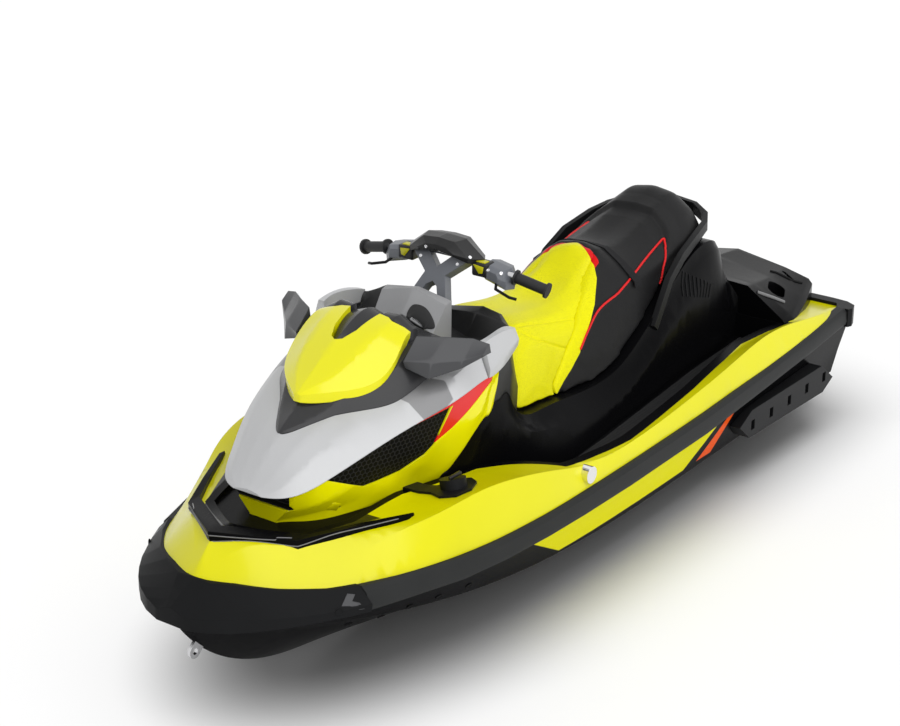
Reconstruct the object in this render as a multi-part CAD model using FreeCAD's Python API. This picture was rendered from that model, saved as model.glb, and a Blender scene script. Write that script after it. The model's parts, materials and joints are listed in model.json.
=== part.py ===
import FreeCAD, Part
import math
import os

# A three seat personal watercraft with a jet pump.
# X points to the bow, Y to port and Z up. The origin lies amidships on the
# centreline, at the height of the water that the craft floats in.

# Driving dimensions, in millimetres
LENGTH = 3540
HALF_BEAM = 610
BODY_HEIGHT = 1000
DRAFT = 260
BOND_HEIGHT = 395
BOND_RISE = 45
BOND_RISE_LENGTH = 1300
TRANSOM = 20
OVERRUN = 60
SEAT_GAP = 0.3
MOVING_GAP = 6

# Footwells
FLOOR_HEIGHT = 440
WELL_RIM = 10
WELL_SLOPE = 42
MAT_THICKNESS = 8

# Hood, fairing and storage bin
HOOD_SKIN = 24
BIN_WALL = 6
BIN_FRONT = 2940
BIN_REAR = 2520
BIN_HALF_WIDTH = 175
BIN_FLOOR = 600
POCKET_DEPTH = 22
ACCENT_SUNK = 2
GRILLE_SUNK = 6

# Engine and its bay
BAY_REAR = 1130
BAY_FRONT = 1770
BAY_HALF_WIDTH = 185
BAY_FLOOR = 105
ENGINE_LENGTH = 580
ENGINE_WIDTH = 340
ENGINE_HEIGHT = 400

# Jet pump, on an axis parallel to the keel
PUMP_HEIGHT = 165
PUMP_FRONT = 560
PUMP_RADIUS = 100
PUMP_BORE = 80
PUMP_FLANGE = 12
PUMP_FLANGE_RADIUS = 118
DUCT_LENGTH = 195
VENTURI_LENGTH = 100
NECK_LENGTH = 30
VENTURI_RADIUS = 60
VENTURI_WALL = 9
HUB_RADIUS = 34
VANE_THICKNESS = 6
VANE_LENGTH = 60
VANE_COUNT = 5
BLADE_THICKNESS = 6
BLADE_LENGTH = 80
BLADE_TWIST = 96
BLADE_STATIONS = 4
BLADE_COUNT = 4
CONE_LENGTH = 40
SHAFT_RADIUS = 14
SHAFT_LENGTH = 330
PIN_RADIUS = 5
PIN_LENGTH = 4
RING_X = 244
RING_FRONT = 14
RING_LENGTH = 68
RING_WALL = 9
NOZZLE_X = 200
NOZZLE_LEAD = 6
NOZZLE_LENGTH = 105
NOZZLE_FRONT_RADIUS = 62
NOZZLE_END_RADIUS = 48
NOZZLE_WALL = 8
GATE_X = 275
GATE_RADIUS = 196
GATE_WALL = 9
GATE_HALF_WIDTH = 104
GATE_SPREAD = 68
GATE_ARM = 12
GATE_PIN_RADIUS = 9
TUNNEL_HALF_WIDTH = 160
TUNNEL_TOP = 285
RECESS_TOP = 386
INTAKE_HALF_WIDTH = 84
INTAKE_REAR = 640
INTAKE_FRONT = 1010
GRATE_HEIGHT = 36
GRATE_BAR = 10
GRATE_BARS = 3
PLATE_HEIGHT = 46
PLATE_THICKNESS = 8
PLATE_REAR = 262

# Steering
STEER_X = 2190
STEER_Z = 1040
STEER_LEAN = 30
COLUMN_LENGTH = 90
COLUMN_RADIUS = 46
YOKE_FOOT = 14
YOKE_HEIGHT = 150
YOKE_HALF_WIDTH = 100
YOKE_DEPTH = 40
BAR_RADIUS = 11
GRIP_RADIUS = 19
GRIP_FLANGE_RADIUS = 27
GRIP_LENGTH = 118
GRIP_CAP = 8
LEVER_RADIUS = 5

# Glove box in the rear face of the dash
LID_HALF_WIDTH = 118
LID_THICKNESS = 12
LID_LENGTH = 118
LID_MARGIN = 8
BOX_DEPTH = 85
BOX_LIP = 12

# Boarding step on the transom
STEP_HEIGHT = 262
STEP_REACH = 134
STEP_HALF_WIDTH = 205
STEP_THICKNESS = 14
STEP_ARM = 22
STEP_BRACKET = 14
STEP_GAP = 10

# Towing eyes at the bow and the transom
EYE_BORE = 11
EYE_RADIUS = 24
EYE_THICKNESS = 12
EYE_REACH = 40
EYE_X = 3416
EYE_Z = 248
STEM_SLOPE = 42
STERN_EYE_Y = 330
STERN_EYE_Z = 330

# Fuel cap and hull vents
CAP_RADIUS = 44
CAP_REACH = 46
CAP_BASE = 9
VENT_RADIUS = 30
VENT_X = 2066
VENT_Y = 587
VENT_Z = 500

# Rear platform and the bumper round the stern
PLATFORM_TOP = 660
BUMPER_BOTTOM = 406
BUMPER_TOP = 484

# Stabilizing fins on the hull, each with a row of slots
SPONSON_OUT = 575
SPONSON_IN = 470
SLOT_COUNT = 5
SLOT_START = 282
SLOT_PITCH = 149
SLOT_WIDTH = 28
SLOT_LOW = 248
SLOT_HEIGHT = 40
SLOT_DEPTH = 14

# Seat strap and grab handle
STRAP_X = 1192
STRAP_WIDTH = 36
STRAP_THICKNESS = 4
STRAP_FOOT = 850
HANDLE_WIDTH = 40
HANDLE_THICKNESS = 22

# Mouth under the hood and the display
GRILLE_DEPTH = 16
GRILLE_HALF_WIDTH = 112
GRILLE_LOW = 622
GRILLE_TOP = 684
GAUGE_HALF_WIDTH = 88
GAUGE_LOW = 1014
GAUGE_HEIGHT = 58
GAUGE_THICKNESS = 4

HALF = LENGTH / 2
FULL_TURN = 360


def at(x_share, y_share, z_share):
    """A point from shares of the length, the half beam and the body's height."""
    return spot(LENGTH * x_share, HALF_BEAM * y_share, BODY_HEIGHT * z_share)


def spot(x, y, z):
    """A point measured forward of the stern, from the centreline and above the keel."""
    return FreeCAD.Vector(x - HALF, y, z - DRAFT)


def section(row, mirrored):
    """The closed outline of one cross section, from a row of shares."""
    station = row[0]
    points = [at(station, y, z) for y, z in zip(row[1::2], row[2::2])]
    if mirrored:
        points += [across(p) for p in reversed(points) if abs(p.y) > 0]
    return Part.makePolygon(points + points[:1])


def across(p):
    """The same point on the other side of the centreline."""
    return FreeCAD.Vector(p.x, -p.y, p.z)


def body(rows, mirrored=True, ruled=False):
    """A solid through the cross sections in the rows, curved along its length or ruled."""
    return Part.makeLoft([section(row, mirrored) for row in rows], True, ruled)


def lowered(rows, narrower, lower):
    """The same rows, drawn in and down by two lengths."""
    inner = []
    for row in rows:
        pairs = []
        for y, z in zip(row[1::2], row[2::2]):
            pairs += [max(y - narrower / HALF_BEAM, 0) if y > 0 else 0, z - lower / BODY_HEIGHT]
        inner.append((row[0], *pairs))
    return inner


def starboard(shape):
    """The mirror image of a port piece."""
    return shape.mirror(FreeCAD.Vector(0, 0, 0), FreeCAD.Vector(0, 1, 0))


def plan_points(rows, height):
    """Both sides of a plan outline, from rows of x and y shares, at one height."""
    port = [spot(LENGTH * x, HALF_BEAM * y, height) for x, y in rows]
    return port + [across(p) for p in reversed(port) if abs(p.y) > 0]


def outline(points):
    return Part.makePolygon(points + points[:1])


def plan_prism(rows, low, high):
    face = Part.Face(outline(plan_points(rows, low)))
    return face.extrude(FreeCAD.Vector(0, 0, high - low))


def side_prism(rows, y_low, y_high):
    """A plate across the craft, from x and height lengths."""
    face = Part.Face(outline([spot(x, y_low, z) for x, z in rows]))
    return face.extrude(FreeCAD.Vector(0, y_high - y_low, 0))


def profile_prism(rows, y_low, y_high):
    """The same, from x and height shares."""
    return side_prism([(LENGTH * x, BODY_HEIGHT * z) for x, z in rows], y_low, y_high)


def block(x_low, x_high, y_low, y_high, z_low, z_high):
    corner = spot(x_low, y_low, z_low)
    return Part.makeBox(x_high - x_low, y_high - y_low, z_high - z_low, corner)


def rod(start, end, radius, end_radius=None):
    """A round bar or cone between two points."""
    axis = end - start
    if end_radius is None:
        return Part.makeCylinder(radius, axis.Length, start, axis)
    return Part.makeCone(radius, end_radius, axis.Length, start, axis)


def tube_run(points, radius):
    """Round bar along straight runs, with a ball at each bend."""
    pieces = [rod(a, b, radius) for a, b in zip(points, points[1:])]
    pieces += [Part.makeSphere(radius, p) for p in points[1:-1]]
    return joined(pieces)


def joined(pieces):
    first, rest = pieces[0], pieces[1:]
    return first.fuse(rest).removeSplitter() if rest else first


def save(name, shape):
    solids = shape.Solids
    result = solids[0] if len(solids) == 1 else Part.makeCompound(solids)
    print(name, len(solids), "solids", round(shape.Volume), "mm3", result.isValid())
    result.exportStep("parts/" + name + ".step")


# Hull: keel, chine, topside and bond line at each station from stern to bow
HULL_SECTION_SHARES = (
    (0.0056, 0, 0, 0.721, 0.172, 0.777, 0.176, 0.82, 0.29, 0.869, 0.4, 0.869, 0.48, 0, 0.48),
    (0.1701, 0, 0, 0.738, 0.174, 0.797, 0.18, 0.852, 0.29, 0.908, 0.4, 0.908, 0.46, 0, 0.46),
    (0.3701, 0, 0, 0.767, 0.18, 0.825, 0.186, 0.885, 0.29, 0.944, 0.395, 0.944, 0.44, 0, 0.44),
    (0.565, 0, 0, 0.762, 0.19, 0.82, 0.198, 0.893, 0.3, 0.959, 0.395, 0.959, 0.42, 0, 0.42),
    (0.7, 0, 0.002, 0.702, 0.215, 0.757, 0.226, 0.844, 0.31, 0.923, 0.395, 0.923, 0.42, 0, 0.42),
    (0.8099, 0, 0.028, 0.554, 0.25, 0.605, 0.264, 0.702, 0.33, 0.793, 0.395, 0.793, 0.42, 0, 0.42),
    (0.8949, 0, 0.104, 0.361, 0.292, 0.403, 0.308, 0.492, 0.352, 0.575, 0.395, 0.575, 0.42, 0, 0.42),
    (0.95, 0, 0.228, 0.184, 0.338, 0.211, 0.348, 0.279, 0.372, 0.346, 0.395, 0.346, 0.42, 0, 0.42),
    (0.9799, 0, 0.346, 0.049, 0.372, 0.062, 0.378, 0.095, 0.387, 0.125, 0.395, 0.125, 0.42, 0, 0.42),
)

# Deck: side, ridge, inner shoulder and centre
DECK_SECTION_SHARES = (
    (0.0056, 0, 0.38, 0.869, 0.38, 0.875, 0.458, 0.803, 0.472, 0.77, 0.47, 0, 0.47),
    (0.0424, 0, 0.38, 0.88, 0.38, 0.885, 0.47, 0.82, 0.49, 0.77, 0.488, 0, 0.488),
    (0.113, 0, 0.38, 0.898, 0.38, 0.902, 0.465, 0.836, 0.53, 0.787, 0.527, 0, 0.527),
    (0.1836, 0, 0.37, 0.913, 0.37, 0.918, 0.46, 0.839, 0.56, 0.757, 0.532, 0, 0.532),
    (0.2825, 0, 0.37, 0.931, 0.37, 0.931, 0.45, 0.869, 0.545, 0.779, 0.53, 0, 0.53),
    (0.3672, 0, 0.37, 0.944, 0.37, 0.943, 0.448, 0.893, 0.525, 0.839, 0.52, 0, 0.52),
    (0.4859, 0, 0.37, 0.956, 0.37, 0.951, 0.446, 0.918, 0.51, 0.893, 0.506, 0, 0.506),
    (0.5862, 0, 0.37, 0.959, 0.37, 0.951, 0.446, 0.91, 0.53, 0.88, 0.535, 0, 0.535),
    (0.6356, 0, 0.37, 0.951, 0.37, 0.943, 0.446, 0.898, 0.575, 0.721, 0.57, 0, 0.565),
    (0.678, 0, 0.37, 0.938, 0.37, 0.926, 0.448, 0.869, 0.605, 0.548, 0.57, 0, 0.56),
    (0.7328, 0, 0.37, 0.898, 0.37, 0.89, 0.45, 0.825, 0.622, 0.475, 0.572, 0, 0.562),
    (0.7901, 0, 0.37, 0.826, 0.37, 0.818, 0.45, 0.741, 0.593, 0.541, 0.585, 0, 0.57),
    (0.8181, 0, 0.37, 0.777, 0.37, 0.767, 0.452, 0.669, 0.572, 0.566, 0.585, 0, 0.575),
    (0.8588, 0, 0.37, 0.675, 0.37, 0.669, 0.455, 0.577, 0.532, 0.467, 0.582, 0, 0.59),
    (0.8938, 0, 0.37, 0.579, 0.37, 0.57, 0.458, 0.48, 0.503, 0.364, 0.577, 0, 0.6),
    (0.9277, 0, 0.37, 0.439, 0.37, 0.43, 0.462, 0.395, 0.476, 0.172, 0.58, 0, 0.611),
    (0.9435, 0, 0.37, 0.37, 0.37, 0.361, 0.455, 0.305, 0.47, 0.098, 0.54, 0, 0.573),
    (0.961, 0, 0.37, 0.275, 0.37, 0.262, 0.436, 0.203, 0.456, 0.082, 0.484, 0, 0.493),
    (0.9746, 0, 0.37, 0.161, 0.37, 0.151, 0.424, 0.118, 0.43, 0.049, 0.44, 0, 0.444),
)

# Guard round the bow
GUARD_SECTION_SHARES = (
    (0.8726, 0, 0.385, 0.728, 0.385, 0.733, 0.412, 0.652, 0.462, 0, 0.462),
    (0.8955, 0, 0.386, 0.662, 0.386, 0.667, 0.412, 0.574, 0.466, 0, 0.466),
    (0.9277, 0, 0.386, 0.548, 0.386, 0.551, 0.418, 0.41, 0.482, 0, 0.482),
    (0.9463, 0, 0.385, 0.466, 0.385, 0.467, 0.424, 0.262, 0.494, 0, 0.496),
    (0.961, 0, 0.384, 0.39, 0.384, 0.39, 0.427, 0.108, 0.496, 0, 0.5),
    (0.9746, 0, 0.383, 0.302, 0.383, 0.298, 0.428, 0.072, 0.468, 0, 0.474),
    (0.9845, 0, 0.382, 0.21, 0.382, 0.203, 0.426, 0.049, 0.45, 0, 0.455),
    (0.9915, 0, 0.381, 0.098, 0.381, 0.089, 0.42, 0.03, 0.436, 0, 0.44),
)

# Side rail: inner foot, outer foot, outer edge, crown
RAIL_SECTION_SHARES = (
    (0.0175, 0.82, 0.418, 0.895, 0.418, 0.9, 0.432, 0.893, 0.47, 0.875, 0.486, 0.82, 0.486),
    (0.113, 0.844, 0.408, 0.928, 0.408, 0.934, 0.422, 0.926, 0.462, 0.905, 0.474, 0.844, 0.474),
    (0.226, 0.869, 0.396, 0.954, 0.396, 0.961, 0.412, 0.952, 0.45, 0.931, 0.463, 0.869, 0.463),
    (0.3672, 0.893, 0.382, 0.984, 0.382, 0.99, 0.4, 0.982, 0.442, 0.961, 0.456, 0.893, 0.456),
    (0.5198, 0.902, 0.38, 0.993, 0.38, 1, 0.398, 0.992, 0.44, 0.97, 0.453, 0.902, 0.453),
    (0.6017, 0.902, 0.38, 0.987, 0.38, 0.993, 0.398, 0.985, 0.44, 0.964, 0.453, 0.902, 0.453),
    (0.6582, 0.893, 0.38, 0.974, 0.38, 0.98, 0.398, 0.97, 0.438, 0.949, 0.451, 0.893, 0.451),
    (0.7203, 0.866, 0.38, 0.944, 0.38, 0.951, 0.398, 0.941, 0.438, 0.92, 0.451, 0.866, 0.451),
    (0.774, 0.811, 0.38, 0.893, 0.38, 0.9, 0.398, 0.889, 0.438, 0.867, 0.452, 0.811, 0.452),
    (0.8362, 0.697, 0.381, 0.777, 0.381, 0.784, 0.399, 0.767, 0.44, 0.744, 0.455, 0.697, 0.455),
    (0.8723, 0.615, 0.384, 0.71, 0.384, 0.715, 0.402, 0.695, 0.442, 0.664, 0.46, 0.615, 0.46),
)

# Inner edge of the deck round the footwells and the foredeck tray
WELL_PLAN_SHARES = (
    (0.9195, 0), (0.8785, 0.352), (0.8333, 0.439), (0.7599, 0.423), (0.6723, 0.541), (0.646, 0.662),
    (0.6073, 0.879), (0.5508, 0.872), (0.4944, 0.893), (0.3531, 0.833), (0.2684, 0.77), (0.2189, 0.725),
    (0.1672, 0.757), (0.1263, 0.816), (0.1263, 0),
)
FLOOR_PROFILE_SHARES = (
    (0.113, 0.3), (0.113, 0.44), (0.5989, 0.44), (0.6554, 0.545), (0.7627, 0.56), (0.9322, 0.574),
    (0.9322, 0.3),
)
MAT_PLAN_SHARES = (
    (0.5763, 0.669), (0.5537, 0.784), (0.4972, 0.8), (0.3559, 0.741), (0.2684, 0.679),
    (0.2203, 0.636), (0.1808, 0.659),
    (0.1469, 0.689), (0.1469, 0.492), (0.2655, 0.528), (0.4737, 0.643), (0.5398, 0.669),
)

# Side panels that carry the seat
PEDESTAL_SECTION_SHARES = (
    (0.135, 0, 0.44, 0.443, 0.44, 0.43, 0.6, 0.38, 0.64, 0.352, 0.65, 0, 0.65),
    (0.1751, 0, 0.44, 0.464, 0.44, 0.452, 0.7, 0.403, 0.83, 0.369, 0.86, 0, 0.87),
    (0.226, 0, 0.44, 0.489, 0.44, 0.479, 0.76, 0.443, 0.85, 0.43, 0.905, 0, 0.905),
    (0.2684, 0, 0.44, 0.503, 0.44, 0.492, 0.72, 0.449, 0.8, 0.443, 0.86, 0, 0.86),
    (0.3249, 0, 0.44, 0.534, 0.44, 0.515, 0.64, 0.466, 0.7, 0.459, 0.742, 0, 0.742),
    (0.363, 0, 0.44, 0.557, 0.44, 0.528, 0.58, 0.475, 0.628, 0.466, 0.665, 0, 0.665),
    (0.3992, 0, 0.44, 0.574, 0.44, 0.544, 0.54, 0.489, 0.58, 0.472, 0.612, 0, 0.612),
    (0.4746, 0, 0.44, 0.613, 0.44, 0.564, 0.525, 0.498, 0.565, 0.467, 0.596, 0, 0.596),
    (0.5398, 0, 0.44, 0.643, 0.44, 0.567, 0.56, 0.502, 0.592, 0.479, 0.622, 0, 0.622),
    (0.5763, 0, 0.44, 0.623, 0.44, 0.567, 0.59, 0.511, 0.612, 0.492, 0.64, 0, 0.64),
    (0.5989, 0, 0.44, 0.598, 0.44, 0.57, 0.62, 0.528, 0.66, 0.508, 0.69, 0, 0.69),
    (0.6215, 0, 0.44, 0.574, 0.44, 0.574, 0.66, 0.554, 0.72, 0.541, 0.79, 0, 0.79),
    (0.6511, 0, 0.44, 0.525, 0.44, 0.557, 0.66, 0.564, 0.74, 0.557, 0.838, 0, 0.838),
    (0.6706, 0, 0.44, 0.479, 0.44, 0.518, 0.59, 0.551, 0.69, 0.554, 0.778, 0, 0.778),
    (0.6921, 0, 0.44, 0.443, 0.44, 0.459, 0.56, 0.462, 0.6, 0.467, 0.634, 0, 0.634),
    (0.7062, 0, 0.44, 0.418, 0.44, 0.418, 0.5, 0.418, 0.53, 0.418, 0.56, 0, 0.56),
)

# Seat: crown, edge of the crown, side and foot
SEAT_SECTION_SHARES = (
    (0.1712, 0, 0.862, 0.115, 0.86, 0.23, 0.84, 0.282, 0.8, 0.279, 0.7, 0, 0.7),
    (0.1808, 0, 0.985, 0.123, 0.975, 0.23, 0.935, 0.311, 0.87, 0.336, 0.74, 0, 0.74),
    (0.1977, 0, 1.068, 0.139, 1.056, 0.254, 1.005, 0.348, 0.925, 0.38, 0.76, 0, 0.76),
    (0.2175, 0, 1.083, 0.139, 1.07, 0.266, 1.005, 0.364, 0.94, 0.402, 0.79, 0, 0.79),
    (0.2401, 0, 1.042, 0.139, 1.045, 0.27, 0.985, 0.377, 0.93, 0.413, 0.82, 0, 0.82),
    (0.2684, 0, 0.998, 0.139, 1.006, 0.275, 0.955, 0.38, 0.91, 0.42, 0.8, 0, 0.8),
    (0.3249, 0, 0.965, 0.139, 0.966, 0.262, 0.925, 0.37, 0.88, 0.43, 0.7, 0, 0.7),
    (0.3475, 0, 0.987, 0.139, 0.976, 0.254, 0.928, 0.364, 0.87, 0.436, 0.68, 0, 0.68),
    (0.3644, 0, 1.003, 0.139, 0.985, 0.246, 0.93, 0.352, 0.86, 0.439, 0.64, 0, 0.64),
    (0.3842, 0, 0.955, 0.139, 0.948, 0.246, 0.905, 0.348, 0.83, 0.443, 0.62, 0, 0.62),
    (0.4096, 0, 0.892, 0.139, 0.898, 0.246, 0.872, 0.341, 0.8, 0.446, 0.6, 0, 0.6),
    (0.4407, 0, 0.862, 0.139, 0.868, 0.246, 0.852, 0.336, 0.785, 0.439, 0.59, 0, 0.59),
    (0.4802, 0, 0.87, 0.139, 0.876, 0.246, 0.862, 0.336, 0.8, 0.43, 0.59, 0, 0.59),
    (0.5226, 0, 0.89, 0.139, 0.9, 0.246, 0.888, 0.348, 0.825, 0.43, 0.6, 0, 0.6),
    (0.5452, 0, 0.882, 0.139, 0.894, 0.246, 0.886, 0.352, 0.825, 0.43, 0.62, 0, 0.62),
    (0.565, 0, 0.83, 0.139, 0.838, 0.246, 0.832, 0.352, 0.785, 0.423, 0.63, 0, 0.63),
    (0.5746, 0, 0.745, 0.139, 0.748, 0.246, 0.748, 0.336, 0.73, 0.407, 0.69, 0, 0.69),
)
SEAT_SPLIT_PROFILE_SHARES = (
    (0.5045, 0.645), (0.3774, 0.943), (0.339, 1.033), (0.339, 1.3), (0.6497, 1.3), (0.6497, 0.3),
    (0.5045, 0.3),
)

# Front body under the hood
NOSE_SECTION_SHARES = (
    (0.6497, 0, 0.5, 0.492, 0.5, 0.566, 0.8, 0.587, 0.858, 0.597, 0.912, 0, 0.912),
    (0.6692, 0, 0.5, 0.434, 0.5, 0.543, 0.705, 0.58, 0.799, 0.595, 0.901, 0, 0.901),
    (0.6921, 0, 0.5, 0.393, 0.5, 0.492, 0.64, 0.561, 0.762, 0.584, 0.886, 0, 0.886),
    (0.7164, 0, 0.5, 0.38, 0.5, 0.436, 0.606, 0.525, 0.74, 0.564, 0.866, 0, 0.866),
    (0.7311, 0, 0.5, 0.37, 0.5, 0.41, 0.6, 0.503, 0.722, 0.543, 0.854, 0, 0.854),
    (0.7638, 0, 0.5, 0.348, 0.5, 0.38, 0.598, 0.456, 0.708, 0.493, 0.828, 0, 0.828),
    (0.7881, 0, 0.5, 0.328, 0.5, 0.356, 0.597, 0.42, 0.698, 0.448, 0.801, 0, 0.801),
    (0.8082, 0, 0.5, 0.298, 0.5, 0.323, 0.596, 0.38, 0.68, 0.41, 0.778, 0, 0.778),
    (0.8362, 0, 0.5, 0.239, 0.5, 0.262, 0.594, 0.318, 0.65, 0.339, 0.735, 0, 0.735),
    (0.8531, 0, 0.5, 0.164, 0.5, 0.184, 0.584, 0.246, 0.63, 0.289, 0.711, 0, 0.711),
    (0.8689, 0, 0.5, 0.075, 0.5, 0.092, 0.574, 0.161, 0.62, 0.233, 0.69, 0, 0.69),
)
HOOD_SECTION_SHARES = (
    (0.8881, 0, 0.697, 0.041, 0.694, 0.069, 0.69, 0.095, 0.684, 0, 0.684),
    (0.8712, 0, 0.747, 0.098, 0.738, 0.18, 0.722, 0.239, 0.69, 0, 0.69),
    (0.846, 0, 0.822, 0.131, 0.806, 0.246, 0.775, 0.323, 0.722, 0, 0.722),
    (0.8082, 0, 0.88, 0.18, 0.866, 0.336, 0.83, 0.42, 0.78, 0, 0.78),
    (0.7638, 0, 0.935, 0.246, 0.915, 0.418, 0.88, 0.503, 0.83, 0, 0.83),
    (0.7164, 0, 0.975, 0.311, 0.955, 0.5, 0.92, 0.574, 0.868, 0, 0.868),
    (0.6921, 0, 0.99, 0.336, 0.975, 0.533, 0.95, 0.593, 0.888, 0, 0.888),
    (0.6695, 0, 1, 0.361, 0.99, 0.549, 0.985, 0.605, 0.903, 0, 0.903),
)
CROWN_SECTION_SHARES = (
    (0.8429, 0, 0.834, 0.007, 0.832, 0.011, 0.828, 0, 0.828),
    (0.8305, 0, 0.865, 0.066, 0.85, 0.102, 0.832, 0, 0.82),
    (0.8107, 0, 0.908, 0.139, 0.882, 0.177, 0.85, 0, 0.84),
    (0.7887, 0, 0.962, 0.213, 0.925, 0.275, 0.866, 0, 0.85),
    (0.7638, 0, 1.012, 0.303, 0.95, 0.374, 0.888, 0, 0.87),
    (0.7466, 0, 1.035, 0.328, 0.985, 0.402, 0.905, 0, 0.88),
    (0.7184, 0, 1.048, 0.336, 1.035, 0.42, 0.935, 0, 0.89),
    (0.6921, 0, 1.042, 0.328, 1.03, 0.42, 0.955, 0, 0.9),
    (0.6737, 0, 1.03, 0.311, 1.01, 0.41, 0.975, 0, 0.9),
)
FAIRING_SECTION_SHARES = (
    (0.8178, 0, 0.934, 0.013, 0.932, 0.02, 0.93, 0.02, 0.906, 0, 0.906),
    (0.8051, 0, 0.964, 0.066, 0.958, 0.121, 0.939, 0.118, 0.905, 0, 0.915),
    (0.7887, 0, 1.002, 0.131, 0.988, 0.226, 0.946, 0.22, 0.914, 0, 0.95),
    (0.772, 0, 1.04, 0.164, 1.022, 0.297, 0.96, 0.289, 0.93, 0, 0.985),
    (0.7466, 0, 1.088, 0.18, 1.072, 0.33, 1.017, 0.318, 0.975, 0, 1.022),
    (0.7184, 0, 1.12, 0.197, 1.102, 0.305, 1.075, 0.292, 1.025, 0, 1.036),
)
NOTCH_PLAN_SHARES = ((0.7633, 0), (0.7599, 0.036), (0.7472, 0.072), (0.7062, 0.111), (0.7062, 0))

# Cockpit console behind the hood
DASH_SECTION_SHARES = (
    (0.5785, 0, 0.6, 0.43, 0.6, 0.439, 0.74, 0.41, 0.806, 0.328, 0.826, 0.246, 0.828, 0, 0.832),
    (0.5904, 0, 0.6, 0.459, 0.6, 0.472, 0.78, 0.43, 0.94, 0.393, 0.982, 0.27, 1, 0, 0.975),
    (0.5983, 0, 0.6, 0.479, 0.6, 0.495, 0.8, 0.452, 0.985, 0.402, 1.02, 0.279, 1.033, 0, 1),
    (0.6073, 0, 0.6, 0.505, 0.6, 0.521, 0.84, 0.492, 0.995, 0.43, 1.012, 0.27, 1.018, 0, 1),
    (0.6172, 0, 0.6, 0.525, 0.6, 0.546, 0.86, 0.528, 1.002, 0.498, 0.952, 0.246, 0.938, 0, 0.985),
    (0.6393, 0, 0.6, 0.541, 0.6, 0.567, 0.86, 0.551, 1.016, 0.511, 0.93, 0.246, 0.92, 0, 0.985),
    (0.6492, 0, 0.6, 0.541, 0.6, 0.57, 0.86, 0.552, 1.01, 0.518, 0.925, 0.246, 0.915, 0, 0.98),
)
SHOULDER_SECTION_SHARES = (
    (0.6678, 0.528, 0.901, 0.607, 0.901, 0.613, 0.93, 0.569, 1.016, 0.528, 1.016),
    (0.6497, 0.534, 0.91, 0.607, 0.91, 0.613, 0.95, 0.569, 1.024, 0.538, 1.024),
    (0.6328, 0.521, 0.925, 0.593, 0.925, 0.603, 0.96, 0.564, 1.022, 0.521, 1.022),
    (0.6102, 0.497, 0.945, 0.561, 0.945, 0.567, 0.968, 0.538, 1.004, 0.5, 1.004),
)
POD_SECTION_SHARES = (
    (0.6362, 0, 0.94, 0.22, 0.94, 0.223, 1.084, 0, 1.106),
    (0.6449, 0, 0.94, 0.22, 0.94, 0.22, 1.077, 0, 1.112),
    (0.6633, 0, 0.94, 0.21, 0.94, 0.21, 0.994, 0, 1.037),
)
ACCENT_PROFILE_SHARES = (
    (0.7627, 0.826), (0.7141, 0.852), (0.7288, 0.734), (0.7099, 0.766), (0.661, 0.88), (0.661, 0.93),
    (0.7062, 0.925), (0.7627, 0.86),
)
GRILLE_PROFILE_SHARES = (
    (0.8429, 0.718), (0.8031, 0.654), (0.7616, 0.664), (0.737, 0.697), (0.7288, 0.73), (0.713, 0.88),
    (0.7627, 0.87), (0.8429, 0.76),
)

# Rear platform
PLATFORM_SECTION_SHARES = (
    (0.0006, 0, 0.47, 0.579, 0.47, 0.579, 0.537, 0.549, 0.556, 0.37, 0.583, 0, 0.62),
    (0.0565, 0, 0.47, 0.697, 0.47, 0.697, 0.53, 0.664, 0.55, 0.43, 0.606, 0, 0.642),
    (0.1141, 0, 0.47, 0.789, 0.47, 0.789, 0.522, 0.757, 0.546, 0.479, 0.64, 0, 0.662),
    (0.1339, 0, 0.47, 0.79, 0.47, 0.79, 0.52, 0.757, 0.545, 0.492, 0.654, 0, 0.668),
)
HOLE_SPOT_SHARES = (
    (0.0819, 0.549, 0.0073, 0.02, 0.056, 0.112), (0.0249, 0.475, 0.0056, 0.062, 0.013, 0.09),
)
BUMPER_PLAN_SHARES = (
    (0.0056, 0), (0.0056, 0.784), (0.0175, 0.82), (0.0175, 0.905), (0.0113, 0.92), (0, 0.9),
    (-0.0068, 0.828), (-0.0085, 0.721), (-0.0085, 0),
)
WING_SECTION_SHARES = (
    (0, 0.9215, 0.58, 0.9384, 0.58, 0.9407, 0.625, 0.9237, 0.622),
    (0.37, 0.8785, 0.552, 0.896, 0.552, 0.8972, 0.598, 0.8819, 0.598),
    (0.508, 0.8362, 0.556, 0.8503, 0.556, 0.8508, 0.602, 0.8395, 0.602),
    (0.651, 0.791, 0.57, 0.8011, 0.57, 0.8017, 0.6, 0.7944, 0.6),
)
MIRROR_SIDE_SHARES = (
    (0.364, 0.7192, 0.99, 0.7407, 0.985, 0.7435, 1.01, 0.7232, 1.075),
    (0.492, 0.6977, 0.962, 0.7345, 0.958, 0.7316, 1.01, 0.709, 1.074),
    (0.607, 0.6859, 0.985, 0.7119, 0.985, 0.7107, 1.01, 0.6935, 1.068),
    (0.689, 0.6859, 1.022, 0.6977, 1.022, 0.6977, 1.03, 0.6881, 1.054),
)
GLASS_SIDE_SHARES = (
    (0.492, 0.696, 0.98, 0.6989, 0.98, 0.7085, 1.062, 0.7062, 1.062),
    (0.6, 0.6847, 0.998, 0.6876, 0.998, 0.6938, 1.06, 0.691, 1.06),
    (0.662, 0.6842, 1.021, 0.687, 1.021, 0.6893, 1.052, 0.6864, 1.052),
)
SPONSON_PROFILE_SHARES = (
    (0.0605, 0.242), (0.0839, 0.202), (0.259, 0.221), (0.2814, 0.288), (0.2556, 0.332), (0.091, 0.324),
)
HANDLE_PATH_SHARES = (
    (0.3333, 0.47, 0.69), (0.2994, 0.451, 0.842), (0.2684, 0.43, 0.902), (0.226, 0.393, 0.938),
    (0.1977, 0.357, 0.952),
    (0.1794, 0.295, 0.962), (0.1689, 0.18, 0.98), (0.1667, 0, 0.99),
)
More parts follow.
